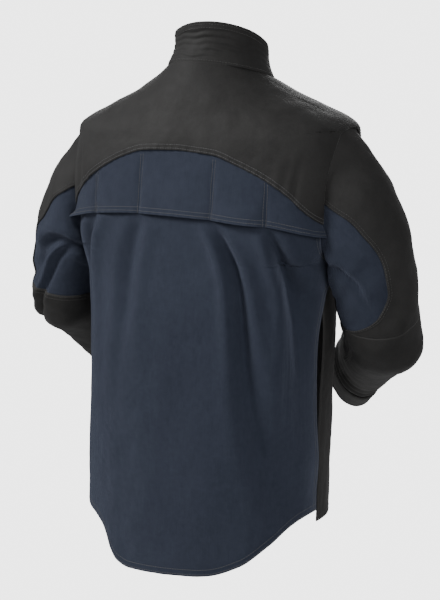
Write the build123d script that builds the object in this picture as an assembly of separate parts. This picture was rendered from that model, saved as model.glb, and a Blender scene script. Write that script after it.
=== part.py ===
"""A welding jacket of leather and navy cotton, in the shape it has when worn, with both elbows bent.

Millimetres. +X is the wearer's left, -Y the wearer's front and +Z up. The origin is the nape: the middle of
the hang loop, at the centre back of the neck. The pieces are modelled about the neck's own vertical axis and
moved to the nape when they are written.
"""

from build123d import *
from math import cos, copysign, pi, sin, sqrt
import os

NAPE_Y = 63.0

# Cloth thicknesses
LEATHER = 2.0
COTTON = 1.5
LINING = 1.2

# The trunk: horizontal rings of its inner face. Each is (height, middle y, half width, half depth, squareness),
# where a squareness of 2 is an ellipse. The front stays at one y below the chest, so the opening hangs straight.
TRUNK_RINGS = [
    (-812, 46, 190, 148, 2.3),
    (-756, 45.5, 191, 147.5, 2.3),
    (-700, 45, 192, 147, 2.3),
    (-640, 44, 192.5, 146, 2.3),
    (-580, 43, 193, 145, 2.3),
    (-515, 40, 194, 142, 2.35),
    (-450, 37, 195, 139, 2.4),
    (-395, 33, 195.5, 135, 2.5),
    (-340, 29, 197, 131, 2.6),
    (-295, 25.5, 205, 127.5, 2.8),
    (-250, 22, 216, 124, 3.0),
    (-210, 19.5, 224, 121.5, 3.0),
    (-170, 17, 227, 119, 3.0),
    (-112, 14, 222, 112, 2.7),
    (-74, 14, 166, 101, 2.4),
    (-46, 15, 119, 90, 2.2),
    (-22, 24, 84, 70, 2.0),
    (4, 42, 46, 40, 2.0),
]
RING_POINTS = 20
FRONT_Y = -102.0

# Seams of the trunk
ARMHOLE_TOP = (226.0, -110.0)
ARMHOLE_FOOT = (203.0, -318.0)
SIDE_SEAM_Y = 38.0
FRONT_YOKE_Y = -30.0
YOKE_ARCH = [(0, -122), (60, -126), (100, -139), (140, -160), (175, -187), (200, -216), (214, -232)]
TAIL_HEM = [(0, -792), (76, -791), (125, -778), (160, -745), (185, -700), (200, -682)]
FRONT_HEM = -700.0

# The vent flap across the back, and the columns of stitching that hold its free edge down
FLAP_EDGE = [(0, -225), (63, -226), (148, -234), (203, -250)]
FLAP_GAP = 2.5
TACK_COLUMNS = (63.0, 148.0)
TACK_WIDTH = 4.0
SEAM_BAND = 9.0

# The neck seam and the collar's rim, each a tilted ring: height and middle y at the neck's axis, half width,
# half depth, and the slope up towards the back
NECK_SEAM = (-22.0, 5.0, 82.0, 78.0, 0.287)
COLLAR_RIM = (25.0, 1.0, 70.0, 68.0, 0.5)
COLLAR_OPENING = 8.0
LINING_GAP = 0.8

# Upper sleeve, left side: rings of the outer face as (end under the arm, end over the arm, middle y, half depth)
SLEEVE_RINGS = [
    ((204.0, -316.0), (226.6, -111.0), 16.0, 74.0),
    ((208.5, -329.0), (279.0, -166.0), 14.0, 73.0),
    ((211.5, -345.0), (317.0, -236.0), 11.0, 68.0),
    ((213.0, -351.0), (331.0, -292.0), 9.0, 64.0),
]
ELBOW_GAP = 0.6
SLEEVE_POINTS = 16
CUFF_DEPTH = 62.0
CUFF_RADII = (50.0, 34.0)
CUFF_STEP = 5.0
CUFF_WALL = 2.5

# Each arm: elbow middle, the way the upper arm arrives, cuff mouth, elbow radius, forearm radii
ARMS = {
    "left": ((282, 4, -390), (0.25, -0.05, -0.95), (266, -180, -548), 60.0, (57.0, 53.0)),
    "right": ((-278, -4, -402), (-0.2, -0.05, -0.95), (-135, -185, -528), 58.0, (56.0, 52.0)),
}

# The navy gusset behind the upper arm, as seen from behind
GUSSET_EDGE = [(190, -196), (222, -200), (262, -224), (294, -262), (314, -312), (312, -352), (292, -384)]
GUSSET_FOOT = [(215, -396), (180, -396)]
GUSSET_FRONT_Y = 10.0

# Storm flap and its snaps
STORM_HINGE_X = 27.0
STORM_EDGE_X = -38.0
STORM_TOP = -100.0
STORM_FOOT = -690.0
STORM_GAP = 5.0
STUD_STANDOFF = 1.2
SNAP_X = -19.0
SNAP_COUNT = 6
SNAP_TOP = -128.0
SNAP_PITCH = 104.0
CAP_RADIUS = 7.5
CAP_HEIGHT = 2.2
SOCKET_RADIUS = 6.0
SOCKET_BORE = 3.4
SOCKET_HEIGHT = 2.2
STUD_RADIUS = 2.7
FLANGE_RADIUS = 5.5
FLANGE_HEIGHT = 0.8

# Chest pocket on the left front, and the pocket inside it
POCKET_X = (66.0, 160.0)
POCKET_Z = (-390.0, -252.0)
POCKET_FLAP_Z = (-296.0, -240.0)
POCKET_SNAP = (113.0, -284.0)
INSIDE_POCKET_Z = (-500.0, -340.0)
FACING_WIDTH = 58.0

# Collar tab, cuff tabs, hang loop
COLLAR_TAB_X = (-34.0, 26.0)
COLLAR_TAB_Z = (-34.0, -10.0)
COLLAR_SNAP_X = -22.0
TAB_GAP = 3.5
SNAP_CLEARANCE = 1.8
CUFF_TAB_WIDTH = 24.0
CUFF_TAB_LENGTH = 62.0
CUFF_TAB_GAP = 6.0
LOOP_HALF_LENGTH = 32.0
LOOP_BULGE = 13.0
LOOP_HEIGHT = 8.0

FAR = 600.0


def prism(points, y_low, y_high):
    """A region drawn as (x, z) corners, reaching from y_low to y_high."""
    face = make_face(Polyline(*points, close=True))
    return extrude(Plane.XZ.offset(-y_high) * face, y_high - y_low)


def block(x, y, z):
    """A block from its ranges along the three axes."""
    middle = ((x[0] + x[1]) / 2, (y[0] + y[1]) / 2, (z[0] + z[1]) / 2)
    return Pos(*middle) * Box(x[1] - x[0], y[1] - y[0], z[1] - z[0])


def mirrored(points):
    """A half outline completed on the other side of the centre line, from -x to +x."""
    return [(-x, z) for x, z in reversed(points[1:])] + list(points)


def trunk(grow):
    """The whole trunk as one solid, with its surface moved out by grow."""
    wires = []
    for height, middle_y, half_width, half_depth, squareness in TRUNK_RINGS:
        points = []
        for i in range(RING_POINTS):
            turn = 2 * pi * i / RING_POINTS - pi / 2
            across = copysign(abs(cos(turn)) ** (2 / squareness), cos(turn))
            along = copysign(abs(sin(turn)) ** (2 / squareness), sin(turn))
            x = (half_width + grow) * across
            y = middle_y + (half_depth + grow) * along
            points.append((x, y, height + grow))
        wires.append(Wire(Spline(*points, periodic=True)))
    return Solid.make_loft(wires)


TRUNKS = {}


def layer(low, high, region):
    """One cloth layer of the trunk: the part of a region between two offsets of the trunk's surface."""
    for grow in (low, high):
        if grow not in TRUNKS:
            TRUNKS[grow] = trunk(grow)
    return (TRUNKS[high] & region) - TRUNKS[low]


def trunk_y(x, z, grow, side):
    """The y of the trunk's surface at (x, z); side is 1 for the back and -1 for the front."""
    z = z - grow
    for lower, upper in zip(TRUNK_RINGS, TRUNK_RINGS[1:]):
        if lower[0] <= z <= upper[0]:
            share = (z - lower[0]) / (upper[0] - lower[0])
            ring = [a + (b - a) * share for a, b in zip(lower, upper)]
            middle_y, half_width, half_depth, squareness = ring[1:]
            reach = 1 - (abs(x) / (half_width + grow)) ** squareness
            return middle_y + side * (half_depth + grow) * reach ** (1 / squareness)
    return 0.0


def tilted_wire(ring, grow):
    """The tilted ring of the neck seam or the collar's rim, as a closed curve."""
    height, middle_y, half_width, half_depth, slope = ring
    points = []
    for i in range(RING_POINTS):
        turn = 2 * pi * i / RING_POINTS
        y = middle_y + (half_depth + grow) * sin(turn)
        points.append(((half_width + grow) * cos(turn), y, height + slope * y))
    return Wire(Spline(*points, periodic=True))


def neck_tube(low, high):
    outer = Solid.make_loft([tilted_wire(NECK_SEAM, high), tilted_wire(COLLAR_RIM, high)])
    inner = Solid.make_loft([tilted_wire(NECK_SEAM, low), tilted_wire(COLLAR_RIM, low)])
    return outer - inner


def under_neck():
    """Everything below the plane of the neck seam."""
    height, slope = NECK_SEAM[0], NECK_SEAM[4]
    corners = [(-FAR, height - slope * FAR), (FAR, height + slope * FAR), (FAR, -2 * FAR), (-FAR, -2 * FAR)]
    face = make_face(Polyline(*corners, close=True))
    return extrude(Plane.YZ.offset(-FAR) * face, 2 * FAR)


def beyond_armholes():
    """The two regions outside the armhole seams."""
    corners = [ARMHOLE_FOOT, (FAR, ARMHOLE_FOOT[1]), (FAR, -60), (ARMHOLE_TOP[0] + 5.5, -60), ARMHOLE_TOP]
    left = prism(corners, -FAR, FAR)
    return left + mirror(left, Plane.YZ)


def cylinder(start, direction, radius, height, bore=0.0):
    """A disc or ring standing on start and reaching along direction."""
    plane = Plane(origin=start, z_dir=direction)
    disc = Pos(0, 0, height / 2) * Cylinder(radius, height)
    if bore:
        disc = disc - Pos(0, 0, height / 2) * Cylinder(bore, height * 2)
    return plane.location * disc


def snap(seat, out, cloth, gap):
    """One snap across a gap: the stud below, and the socket and cap on the two faces of the cloth above."""
    seat = Vector(*seat)
    out = Vector(*out).normalized()
    stud = cylinder(seat, out, FLANGE_RADIUS, FLANGE_HEIGHT)
    stud = stud + cylinder(seat, out, STUD_RADIUS, gap - 0.4)
    socket = cylinder(seat + out * (gap - SOCKET_HEIGHT), out, SOCKET_RADIUS, SOCKET_HEIGHT, SOCKET_BORE)
    rim = cylinder(seat + out * (gap + cloth), out, CAP_RADIUS, CAP_HEIGHT * 0.45)
    crown = cylinder(seat + out * (gap + cloth), out, CAP_RADIUS - 1.4, CAP_HEIGHT)
    return stud, socket, rim + crown


def write(name, shape):
    """One part of the jacket, moved so that the nape is the origin."""
    export_step(Pos(0, -NAPE_Y, 0) * shape, "parts/" + name + ".step")


def make_trunk():
    neck = under_neck()
    arms = beyond_armholes()
    arch = mirrored(YOKE_ARCH)
    high = [(FAR, YOKE_ARCH[-1][1]), (FAR, 100), (-FAR, 100), (-FAR, YOKE_ARCH[-1][1])]
    low = [(FAR, YOKE_ARCH[-1][1])]
    tail = mirrored(TAIL_HEM)
    back = arch + low + [(FAR, TAIL_HEM[-1][1])] + list(reversed(tail)) + [
        (-FAR, TAIL_HEM[-1][1]), (-FAR, YOKE_ARCH[-1][1])]

    over = prism(arch + high, FRONT_YOKE_Y, FAR)
    yoke = layer(0, LEATHER, over) & neck
    write("yoke", yoke - arms)

    lining_region = prism([(-150, -128), (150, -128), (150, -10), (-150, -10)], FRONT_YOKE_Y + 4, FAR)
    lining = layer(-0.5 - LINING, -0.5, lining_region) & neck
    write("yoke_lining", lining - arms)
    label = prism([(-24, -62), (24, -62), (24, -30), (-24, -30)], 0, FAR)
    write("neck_label", layer(-2.8, -1.9, label))

    back_panel = layer(0, COTTON, prism(back, SIDE_SEAM_Y, FAR))
    write("back_panel", back_panel - arms)

    edge = mirrored(FLAP_EDGE)
    flap = arch[1:-1] + [(FLAP_EDGE[-1][0], YOKE_ARCH[-2][1])] + list(reversed(edge)) + [
        (-FLAP_EDGE[-1][0], YOKE_ARCH[-2][1])]
    flap_low = COTTON + FLAP_GAP
    write("back_vent_flap", layer(flap_low, flap_low + COTTON, prism(flap, SIDE_SEAM_Y + 2, FAR)) - arms)

    band = arch[1:-1] + [(x * 0.985, z - SEAM_BAND) for x, z in reversed(arch[1:-1])]
    seam = layer(COTTON, flap_low, prism(band, SIDE_SEAM_Y + 2, FAR)) - arms
    tacks = [seam]
    for column in TACK_COLUMNS:
        for x in (-column, column):
            corners = [(x - TACK_WIDTH / 2, -222), (x + TACK_WIDTH / 2, -222),
                       (x + TACK_WIDTH / 2, -180), (x - TACK_WIDTH / 2, -180)]
            tacks.append(layer(COTTON, flap_low, prism(corners, 60, FAR)))
    write("back_vent_seam", Compound(children=tacks))

    for side, name in ((1, "left"), (-1, "right")):
        inner = 0.3 * side
        below = prism([(inner, FRONT_HEM), (side * FAR, FRONT_HEM),
                       (side * FAR, ARMHOLE_FOOT[1]), (inner, ARMHOLE_FOOT[1])], -FAR, SIDE_SEAM_Y)
        above = prism([(inner, ARMHOLE_FOOT[1]), (side * FAR, ARMHOLE_FOOT[1]),
                       (side * FAR, 60), (inner, 60)], -FAR, FRONT_YOKE_Y)
        side_gore = prism([(side * 150, ARMHOLE_FOOT[1]), (side * FAR, ARMHOLE_FOOT[1]),
                           (side * FAR, YOKE_ARCH[-1][1]), (side * 150, YOKE_ARCH[-1][1])],
                          FRONT_YOKE_Y, SIDE_SEAM_Y)
        front = layer(0, LEATHER, below + above + side_gore) & neck
        write(name + "_front", front - arms)
        facing_region = prism([(inner, FRONT_HEM + 8), (side * FACING_WIDTH, FRONT_HEM + 8),
                               (side * FACING_WIDTH, -150), (inner, -150)], -FAR, 0)
        write(name + "_facing", layer(-2.3, -0.5, facing_region))

    pocket = prism([(POCKET_X[0] + 3, POCKET_Z[0]), (POCKET_X[1] - 3, POCKET_Z[0]),
                    (POCKET_X[1] - 3, POCKET_Z[1]), (POCKET_X[0] + 3, POCKET_Z[1])], -FAR, 0)
    write("chest_pocket", layer(LEATHER + 0.1, LEATHER + 1.8, pocket))
    inside = prism([(POCKET_X[0], INSIDE_POCKET_Z[0]), (POCKET_X[1], INSIDE_POCKET_Z[0]),
                    (POCKET_X[1], INSIDE_POCKET_Z[1]), (POCKET_X[0], INSIDE_POCKET_Z[1])], -FAR, 0)
    write("inside_pocket", layer(-2.0, -0.5, inside))


def make_storm_flap():
    y = FRONT_Y - LEATHER
    inner_y = y - STORM_GAP
    board = block((STORM_EDGE_X, STORM_HINGE_X), (inner_y - LEATHER, inner_y), (STORM_FOOT, STORM_TOP))
    write("storm_flap", board)
    studs, sockets, caps = [], [], []
    for i in range(SNAP_COUNT):
        seat = (SNAP_X, y - STUD_STANDOFF, SNAP_TOP - i * SNAP_PITCH)
        stud, socket, cap = snap(seat, (0, -1, 0), LEATHER, STORM_GAP - STUD_STANDOFF)
        studs.append(stud)
        sockets.append(socket)
        caps.append(cap)
    write("front_snap_studs", Compound(children=studs))
    write("storm_flap_sockets", Compound(children=sockets))
    write("storm_flap_caps", Compound(children=caps))


def make_pocket_flap():
    region = prism([(POCKET_X[0], POCKET_FLAP_Z[0] + 12), (POCKET_X[0] + 12, POCKET_FLAP_Z[0]),
                    (POCKET_X[1] - 12, POCKET_FLAP_Z[0]), (POCKET_X[1], POCKET_FLAP_Z[0] + 12),
                    (POCKET_X[1], POCKET_FLAP_Z[1]), (POCKET_X[0], POCKET_FLAP_Z[1])], -FAR, 0)
    low = LEATHER + 1.8 + 3.4 + SNAP_CLEARANCE
    write("pocket_flap", layer(low, low + LEATHER, region))
    x, z = POCKET_SNAP
    near, away = x - 10, x + 10
    slope = (trunk_y(away, z, low, -1) - trunk_y(near, z, low, -1)) / (away - near)
    out = (slope, -1, 0)
    seat = (x, trunk_y(x, z, LEATHER + 1.8, -1) - 0.6, z)
    stud, socket, cap = snap(seat, out, LEATHER + 2 * SNAP_CLEARANCE, 3.4)
    write("pocket_snap_stud", stud)
    write("pocket_flap_socket", socket)
    write("pocket_flap_cap", cap)


def make_collar():
    opening = block((-COLLAR_OPENING / 2, COLLAR_OPENING / 2), (-FAR, 0), (-FAR, FAR))
    write("collar_outer", neck_tube(0, LEATHER) - opening)
    write("collar_lining", neck_tube(-LINING_GAP - LINING, -LINING_GAP) - opening)
    low = LEATHER + TAB_GAP + SNAP_CLEARANCE
    region = block(COLLAR_TAB_X, (-FAR, 0), COLLAR_TAB_Z)
    write("collar_tab", neck_tube(low, low + LEATHER) & region)
    z = (COLLAR_TAB_Z[0] + COLLAR_TAB_Z[1]) / 2
    share = 0.6
    half_width = NECK_SEAM[2] + (COLLAR_RIM[2] - NECK_SEAM[2]) * share + LEATHER
    half_depth = NECK_SEAM[3] + (COLLAR_RIM[3] - NECK_SEAM[3]) * share + LEATHER
    middle_y = (NECK_SEAM[1] + COLLAR_RIM[1]) / 2
    y = middle_y - half_depth * sqrt(1 - (COLLAR_SNAP_X / half_width) ** 2)
    out = (COLLAR_SNAP_X / half_width, -0.95, 0.17)
    stud, socket, cap = snap((COLLAR_SNAP_X, y - 0.5, z), out, LEATHER + 2 * SNAP_CLEARANCE, TAB_GAP)
    write("collar_snap_stud", stud)
    write("collar_tab_socket", socket)
    write("collar_tab_cap", cap)


def make_hang_loop():
    y = NAPE_Y + LOOP_BULGE
    outer = Pos(0, y, 0) * extrude(Ellipse(LOOP_HALF_LENGTH, LOOP_BULGE), LOOP_HEIGHT / 2, both=True)
    inner = Pos(0, y, 0) * extrude(Ellipse(LOOP_HALF_LENGTH - 1.2, LOOP_BULGE - 1.2), LOOP_HEIGHT, both=True)
    keep = block((-FAR, FAR), (-FAR, y - 3.1), (-FAR, FAR))
    write("hang_loop", (outer - inner) & keep)


def sleeve_ring(middle, first, second, squash=None):
    """The corner points of one ring of a sleeve, from its two half-axis vectors."""
    points = []
    for i in range(SLEEVE_POINTS):
        turn = 2 * pi * i / SLEEVE_POINTS
        offset = first * cos(turn) + second * sin(turn)
        if squash:
            axis, share = squash
            offset = offset - axis * offset.dot(axis) * (1 - share)
        points.append(middle + offset)
    return points


def slide(points, direction, origin, normal):
    """Points moved along a direction until they lie in a plane."""
    return [p + direction * ((origin - p).dot(normal) / direction.dot(normal)) for p in points]


def tube(rings, wall):
    """A hollow sleeve through rings of points, with the inner face one wall further in."""
    outer, inner = [], []
    for i, points in enumerate(rings):
        middle = sum(points, Vector(0, 0, 0)) * (1 / len(points))
        past = Vector(0, 0, 0)
        if i in (0, len(rings) - 1):
            normal = (points[0] - middle).cross(points[len(points) // 4] - middle).normalized()
            other = rings[1] if i == 0 else rings[-2]
            if normal.dot(other[0] - points[0]) > 0:
                normal = normal * -1
            past = normal
        shrunk = [p - (p - middle).normalized() * wall + past for p in points]
        outer.append(Wire(Spline(*points, periodic=True)))
        inner.append(Wire(Spline(*shrunk, periodic=True)))
    return Solid.make_loft(outer) - Solid.make_loft(inner)


def elliptic_cone(start, end, long_axis, radii, share, inset):
    """A solid between two ellipses, with their short axes a share of the long ones, all moved in by inset."""
    direction = (end - start).normalized()
    sections = []
    for point, radius in zip((start, end), radii):
        plane = Plane(origin=point, x_dir=long_axis, z_dir=direction)
        sections.append(plane * Ellipse(radius - inset, radius * share - inset))
    return loft(sections)


def make_arm(name):
    side = 1 if name == "left" else -1
    elbow, arrive, mouth, radius, forearm_radii = ARMS[name]
    elbow, mouth = Vector(*elbow), Vector(*mouth)
    arrive = Vector(*arrive).normalized()
    leave = (mouth - elbow).normalized()
    mitre = (arrive + leave).normalized()
    hinge = arrive.cross(leave).normalized()

    rings = []
    for (inner_x, inner_z), (outer_x, outer_z), middle_y, half_depth in SLEEVE_RINGS:
        half = Vector(side * (outer_x - inner_x) / 2, 0, (outer_z - inner_z) / 2)
        middle = Vector(side * (outer_x + inner_x) / 2, middle_y, (outer_z + inner_z) / 2)
        rings.append(sleeve_ring(middle, half, Vector(0, -half_depth, 0)))
    lateral = Vector(side, 0, 0.3)
    first = (lateral - arrive * lateral.dot(arrive)).normalized()
    second = Vector(0, -1, 0)
    second = (second - arrive * second.dot(arrive) - first * second.dot(first)).normalized()
    around = sleeve_ring(elbow, first * radius, second * radius)
    rings.append(slide(around, arrive, elbow, mitre))
    sleeve = tube(rings, LEATHER)
    edge = [(side * x, z) for x, z in GUSSET_EDGE + GUSSET_FOOT]
    gusset_region = prism(edge, GUSSET_FRONT_Y, FAR)
    write(name + "_sleeve_gusset", sleeve & gusset_region)
    write(name + "_sleeve_outer", sleeve - gusset_region)

    reach = (mouth - elbow).length
    top = elbow + mitre * ELBOW_GAP
    lower = [slide([p + mitre * ELBOW_GAP for p in around], arrive, top, mitre)]
    third = turned(first, arrive, leave)
    fourth = turned(second, arrive, leave)
    for share, r in zip((0.34, 0.62), forearm_radii):
        squash = (hinge, 1 - 0.35 * share)
        lower.append(sleeve_ring(elbow + leave * reach * share, third * r, fourth * r, squash))
    long_radius, short_radius = CUFF_RADII
    squash = (hinge, short_radius / long_radius)
    r = long_radius - 0.6
    lower.append(sleeve_ring(elbow + leave * (reach - CUFF_DEPTH + 6), third * r, fourth * r, squash))
    write(name + "_forearm", tube(lower, LEATHER))

    outside = (arrive - leave).normalized()
    outside = (outside - leave * outside.dot(leave)).normalized()
    top, foot = mouth - leave * CUFF_DEPTH, mouth
    radii = (long_radius + CUFF_STEP, long_radius + CUFF_WALL)
    cuff = elliptic_cone(top, foot, outside, radii, short_radius / long_radius, 0)
    bore = elliptic_cone(top - leave, foot + leave, outside, radii, short_radius / long_radius, CUFF_WALL)
    write(name + "_cuff", cuff - bore)

    middle = elbow + leave * (reach - CUFF_DEPTH / 2)
    out = hinge * -side
    seat = middle + out * (short_radius + 3.4)
    stud, socket, cap = snap(seat - outside * 20, out, LEATHER, CUFF_TAB_GAP)
    plane = Plane(origin=seat + out * CUFF_TAB_GAP, x_dir=outside, z_dir=out)
    strap = plane.location * Pos(0, 0, LEATHER / 2) * Box(CUFF_TAB_LENGTH, CUFF_TAB_WIDTH, LEATHER)
    write(name + "_cuff_tab", strap)
    write(name + "_cuff_stud", stud)
    write(name + "_cuff_tab_socket", socket)
    write(name + "_cuff_tab_cap", cap)


def turned(vector, start, end):
    """A vector turned by the rotation that carries one unit direction onto another."""
    axis = start.cross(end)
    share = 1 / (1 + start.dot(end))
    return vector * start.dot(end) + axis.cross(vector) + axis * axis.dot(vector) * share


def main():
    os.makedirs("parts", exist_ok=True)
    make_trunk()
    make_storm_flap()
    make_pocket_flap()
    make_collar()
    make_hang_loop()
    make_arm("left")
    make_arm("right")


main()
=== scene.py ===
from math import acos, cos, pi, radians, sin, sqrt

import bpy
import numpy as np
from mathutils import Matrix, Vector, noise


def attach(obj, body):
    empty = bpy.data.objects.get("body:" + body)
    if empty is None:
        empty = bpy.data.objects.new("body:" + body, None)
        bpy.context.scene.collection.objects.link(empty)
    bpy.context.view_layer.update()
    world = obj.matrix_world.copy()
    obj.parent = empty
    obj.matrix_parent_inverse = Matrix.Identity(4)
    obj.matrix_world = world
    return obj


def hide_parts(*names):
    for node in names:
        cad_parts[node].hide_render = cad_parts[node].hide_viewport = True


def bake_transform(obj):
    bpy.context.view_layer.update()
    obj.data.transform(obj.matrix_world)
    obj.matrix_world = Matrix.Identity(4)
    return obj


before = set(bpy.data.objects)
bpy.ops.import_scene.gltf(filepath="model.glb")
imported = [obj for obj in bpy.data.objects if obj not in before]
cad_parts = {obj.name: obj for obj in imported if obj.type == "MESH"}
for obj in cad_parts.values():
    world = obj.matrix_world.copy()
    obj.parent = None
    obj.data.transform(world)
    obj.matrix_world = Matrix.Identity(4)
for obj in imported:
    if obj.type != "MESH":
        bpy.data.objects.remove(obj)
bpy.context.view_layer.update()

NAPE_Y = 63.0
ORIGIN = np.array([0.0, NAPE_Y, 0.0])


# ---------------------------------------------------------------- small maths
def unit(v):
    v = np.asarray(v, float)
    return v / max(np.linalg.norm(v), 1e-12)


def smooth(x, low, high):
    t = np.clip((np.asarray(x, float) - low) / (high - low), 0, 1)
    return t * t * (3 - 2 * t)


def bump(x, width):
    return np.exp(-(np.asarray(x, float) / width) ** 2)


def pchip(xs, ys, x):
    """A smooth curve through points that never overshoots them."""
    xs, ys = np.asarray(xs, float), np.asarray(ys, float)
    h = np.diff(xs)
    d = np.diff(ys) / h
    m = np.zeros_like(ys)
    m[0], m[-1] = d[0], d[-1]
    for i in range(1, len(xs) - 1):
        if d[i - 1] * d[i] > 0:
            w1, w2 = 2 * h[i] + h[i - 1], h[i] + 2 * h[i - 1]
            m[i] = (w1 + w2) / (w1 / d[i - 1] + w2 / d[i])
    x = np.clip(np.asarray(x, float), xs[0], xs[-1])
    k = np.clip(np.searchsorted(xs, x, side="right") - 1, 0, len(xs) - 2)
    t = (x - xs[k]) / h[k]
    return ((2 * t ** 3 - 3 * t ** 2 + 1) * ys[k] + (t ** 3 - 2 * t ** 2 + t) * h[k] * m[k]
            + (3 * t ** 2 - 2 * t ** 3) * ys[k + 1] + (t ** 3 - t ** 2) * h[k] * m[k + 1])


def noise_at(points, scale, seed):
    """Soft noise from -1 to 1 at points in millimetres."""
    flat = np.asarray(points, float).reshape(-1, 3) / scale
    out = [noise.noise(Vector((p[0] + seed, p[1] - seed * 0.7, p[2] + seed * 1.3))) for p in flat]
    return np.array(out).reshape(np.asarray(points).shape[:-1])


# ---------------------------------------------------------------- the trunk's surface
RINGS = np.array([
    (-812, 46, 190, 148, 2.3),
    (-700, 45, 192, 147, 2.3),
    (-580, 43, 193, 145, 2.3),
    (-450, 37, 195, 139, 2.4),
    (-340, 29, 197, 131, 2.6),
    (-250, 22, 216, 124, 3.0),
    (-170, 17, 228, 119, 3.0),
    (-112, 14, 228, 112, 2.7),
    (-74, 14, 171, 101, 2.4),
    (-46, 15, 119, 90, 2.2),
    (-22, 24, 84, 70, 2.0),
    (8, 42, 46, 40, 2.0),
], float)
ARMHOLE_TOP = (226.0, -110.0)
ARMHOLE_FOOT = (203.0, -318.0)
YOKE_ARCH = np.array([(0, -122), (60, -126), (100, -139), (140, -160), (175, -187), (200, -216), (216, -235)], float)
TAIL_HEM = np.array([(-200, -676), (-185, -688), (-160, -718), (-125, -750), (-76, -768), (0, -774), (60, -776),
                     (84, -769), (98, -754), (107, -734), (119, -717), (138, -707), (162, -700), (185, -689),
                     (200, -668)], float)
FLAP_EDGE = np.array([(0, -225), (63, -226), (148, -234), (216, -252)], float)
NECK = (-22.0, 5.0, 82.0, 78.0, 0.287)
RIM = (25.0, 1.0, 70.0, 68.0, 0.5)
SIDE_SEAM_Y = 38.0
SHOULDER_SEAM_Y = -30.0
TACKS = (63.0, 148.0)


def trunk_ring(z):
    return [pchip(RINGS[:, 0], RINGS[:, k], z) for k in range(1, 5)]


def trunk_point(turn, z, out=0.0):
    middle, a, b, n = trunk_ring(z)
    c, s = np.cos(turn), np.sin(turn)
    x = (a + out) * np.sign(c) * np.abs(c) ** (2 / n)
    y = middle + (b + out) * np.sign(s) * np.abs(s) ** (2 / n)
    return np.stack([x, y, np.broadcast_to(z, np.shape(x))], -1)


def armhole_x(z):
    share = (z - ARMHOLE_FOOT[1]) / (ARMHOLE_TOP[1] - ARMHOLE_FOOT[1])
    return ARMHOLE_FOOT[0] + (ARMHOLE_TOP[0] - ARMHOLE_FOOT[0]) * share


def armhole_turn(z):
    """The turn at which the trunk's ring meets the armhole, or 0 where it doesn't."""
    middle, a, b, n = trunk_ring(z)
    if z < ARMHOLE_FOOT[1] or a <= armhole_x(z):
        return 0.0
    return float(acos((armhole_x(z) / a) ** (n / 2)))


def y_turn(z, y):
    """The turn, from the side, at which the trunk's ring has this y."""
    middle, a, b, n = trunk_ring(z)
    reach = np.clip((y - middle) / b, -0.999, 0.999)
    return float(np.sign(reach) * np.arcsin(np.abs(reach) ** (n / 2)))


def raised(p):
    """The right shoulder is carried a little higher than the left."""
    p = np.array(p, float)
    p[..., 2] += 13.0 * smooth(-p[..., 0], 90, 215) * smooth(p[..., 2], -330, -150)
    return p


class Grid:
    """A rectangular net of points in millimetres, with its outward normals."""

    def __init__(self, points, out_from=None):
        self.p = np.asarray(points, float)
        self.out_from = out_from
        self.update()

    def update(self):
        du = np.gradient(self.p, axis=1)
        dv = np.gradient(self.p, axis=0)
        n = np.cross(du, dv)
        length = np.linalg.norm(n, axis=-1, keepdims=True)
        n = n / np.maximum(length, 1e-9)
        centre = self.out_from if self.out_from is not None else np.array([0, 20.0, 0])
        if np.ndim(centre) == 1:
            away = self.p - centre
            away = away * np.array([1, 1, 0.15])
        else:
            away = self.p - centre
        if np.mean(np.sum(n * away, -1)) < 0:
            n = -n
        self.n = n

    def push(self, amount):
        self.p = self.p + self.n * np.asarray(amount)[..., None]
        self.update()
        return self

    def copy(self):
        g = Grid(self.p.copy(), self.out_from)
        g.n = self.n.copy()
        return g

    def lengths(self):
        """Arc length along the rows and the columns, as UV in metres."""
        across = np.linalg.norm(np.diff(self.p, axis=1), axis=-1)
        down = np.linalg.norm(np.diff(self.p, axis=0), axis=-1)
        u = np.concatenate([np.zeros((self.p.shape[0], 1)), np.cumsum(across, 1)], 1)
        u = u - u.mean(1, keepdims=True)
        v = np.concatenate([np.zeros((1, self.p.shape[1])), np.cumsum(down, 0)], 0)
        return u / 1000, v / 1000

    def line(self, axis, at):
        """A row (axis 0) or column (axis 1) at a distance in mm from its start (positive) or end (negative)."""
        p, n = (self.p, self.n) if axis == 0 else (self.p.swapaxes(0, 1), self.n.swapaxes(0, 1))
        if at < 0:
            p, n, at = p[::-1], n[::-1], -at
        step = np.linalg.norm(np.diff(p, axis=0), axis=-1)
        reach = np.concatenate([np.zeros((1, p.shape[1])), np.cumsum(step, 0)], 0)
        points, normals = [], []
        for j in range(p.shape[1]):
            if reach[-1, j] < at:
                continue
            points.append([np.interp(at, reach[:, j], p[:, j, k]) for k in range(3)])
            normals.append(unit([np.interp(at, reach[:, j], n[:, j, k]) for k in range(3)]))
        return np.array(points), np.array(normals)


def trunk_sheet(turns, top, bottom, nu, nv):
    """A sheet on the trunk. turns(z) gives its two side edges, and top and bottom are heights as functions of a
    point, found on every column."""
    heights = np.arange(-812.0, 9.0, 2.0)
    table = []
    for z in heights:
        t0, t1 = turns(z)
        dense = np.linspace(t0, t1, 240)
        pts = trunk_point(dense, np.full(240, z))
        reach = np.concatenate([[0], np.cumsum(np.linalg.norm(np.diff(pts, axis=0), axis=1))])
        at = np.interp(np.linspace(0, 1, nu) * reach[-1], reach, dense)
        table.append(trunk_point(at, np.full(nu, z)))
    table = np.array(table)
    grid = np.zeros((nv, nu, 3))
    for i in range(nu):
        column = table[:, i]
        ends = []
        for rule in (top, bottom):
            gap = column[:, 2] - rule(column)
            k = int(np.argmax(gap > 0)) if np.any(gap > 0) else len(gap) - 1
            k = max(k, 1)
            share = -gap[k - 1] / (gap[k] - gap[k - 1])
            ends.append(heights[k - 1] + np.clip(share, 0, 1) * 2.0)
        zs = np.linspace(ends[0], ends[1], nv)
        for k in range(3):
            grid[:, i, k] = np.interp(zs, heights, column[:, k])
    return Grid(raised(grid))


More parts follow.
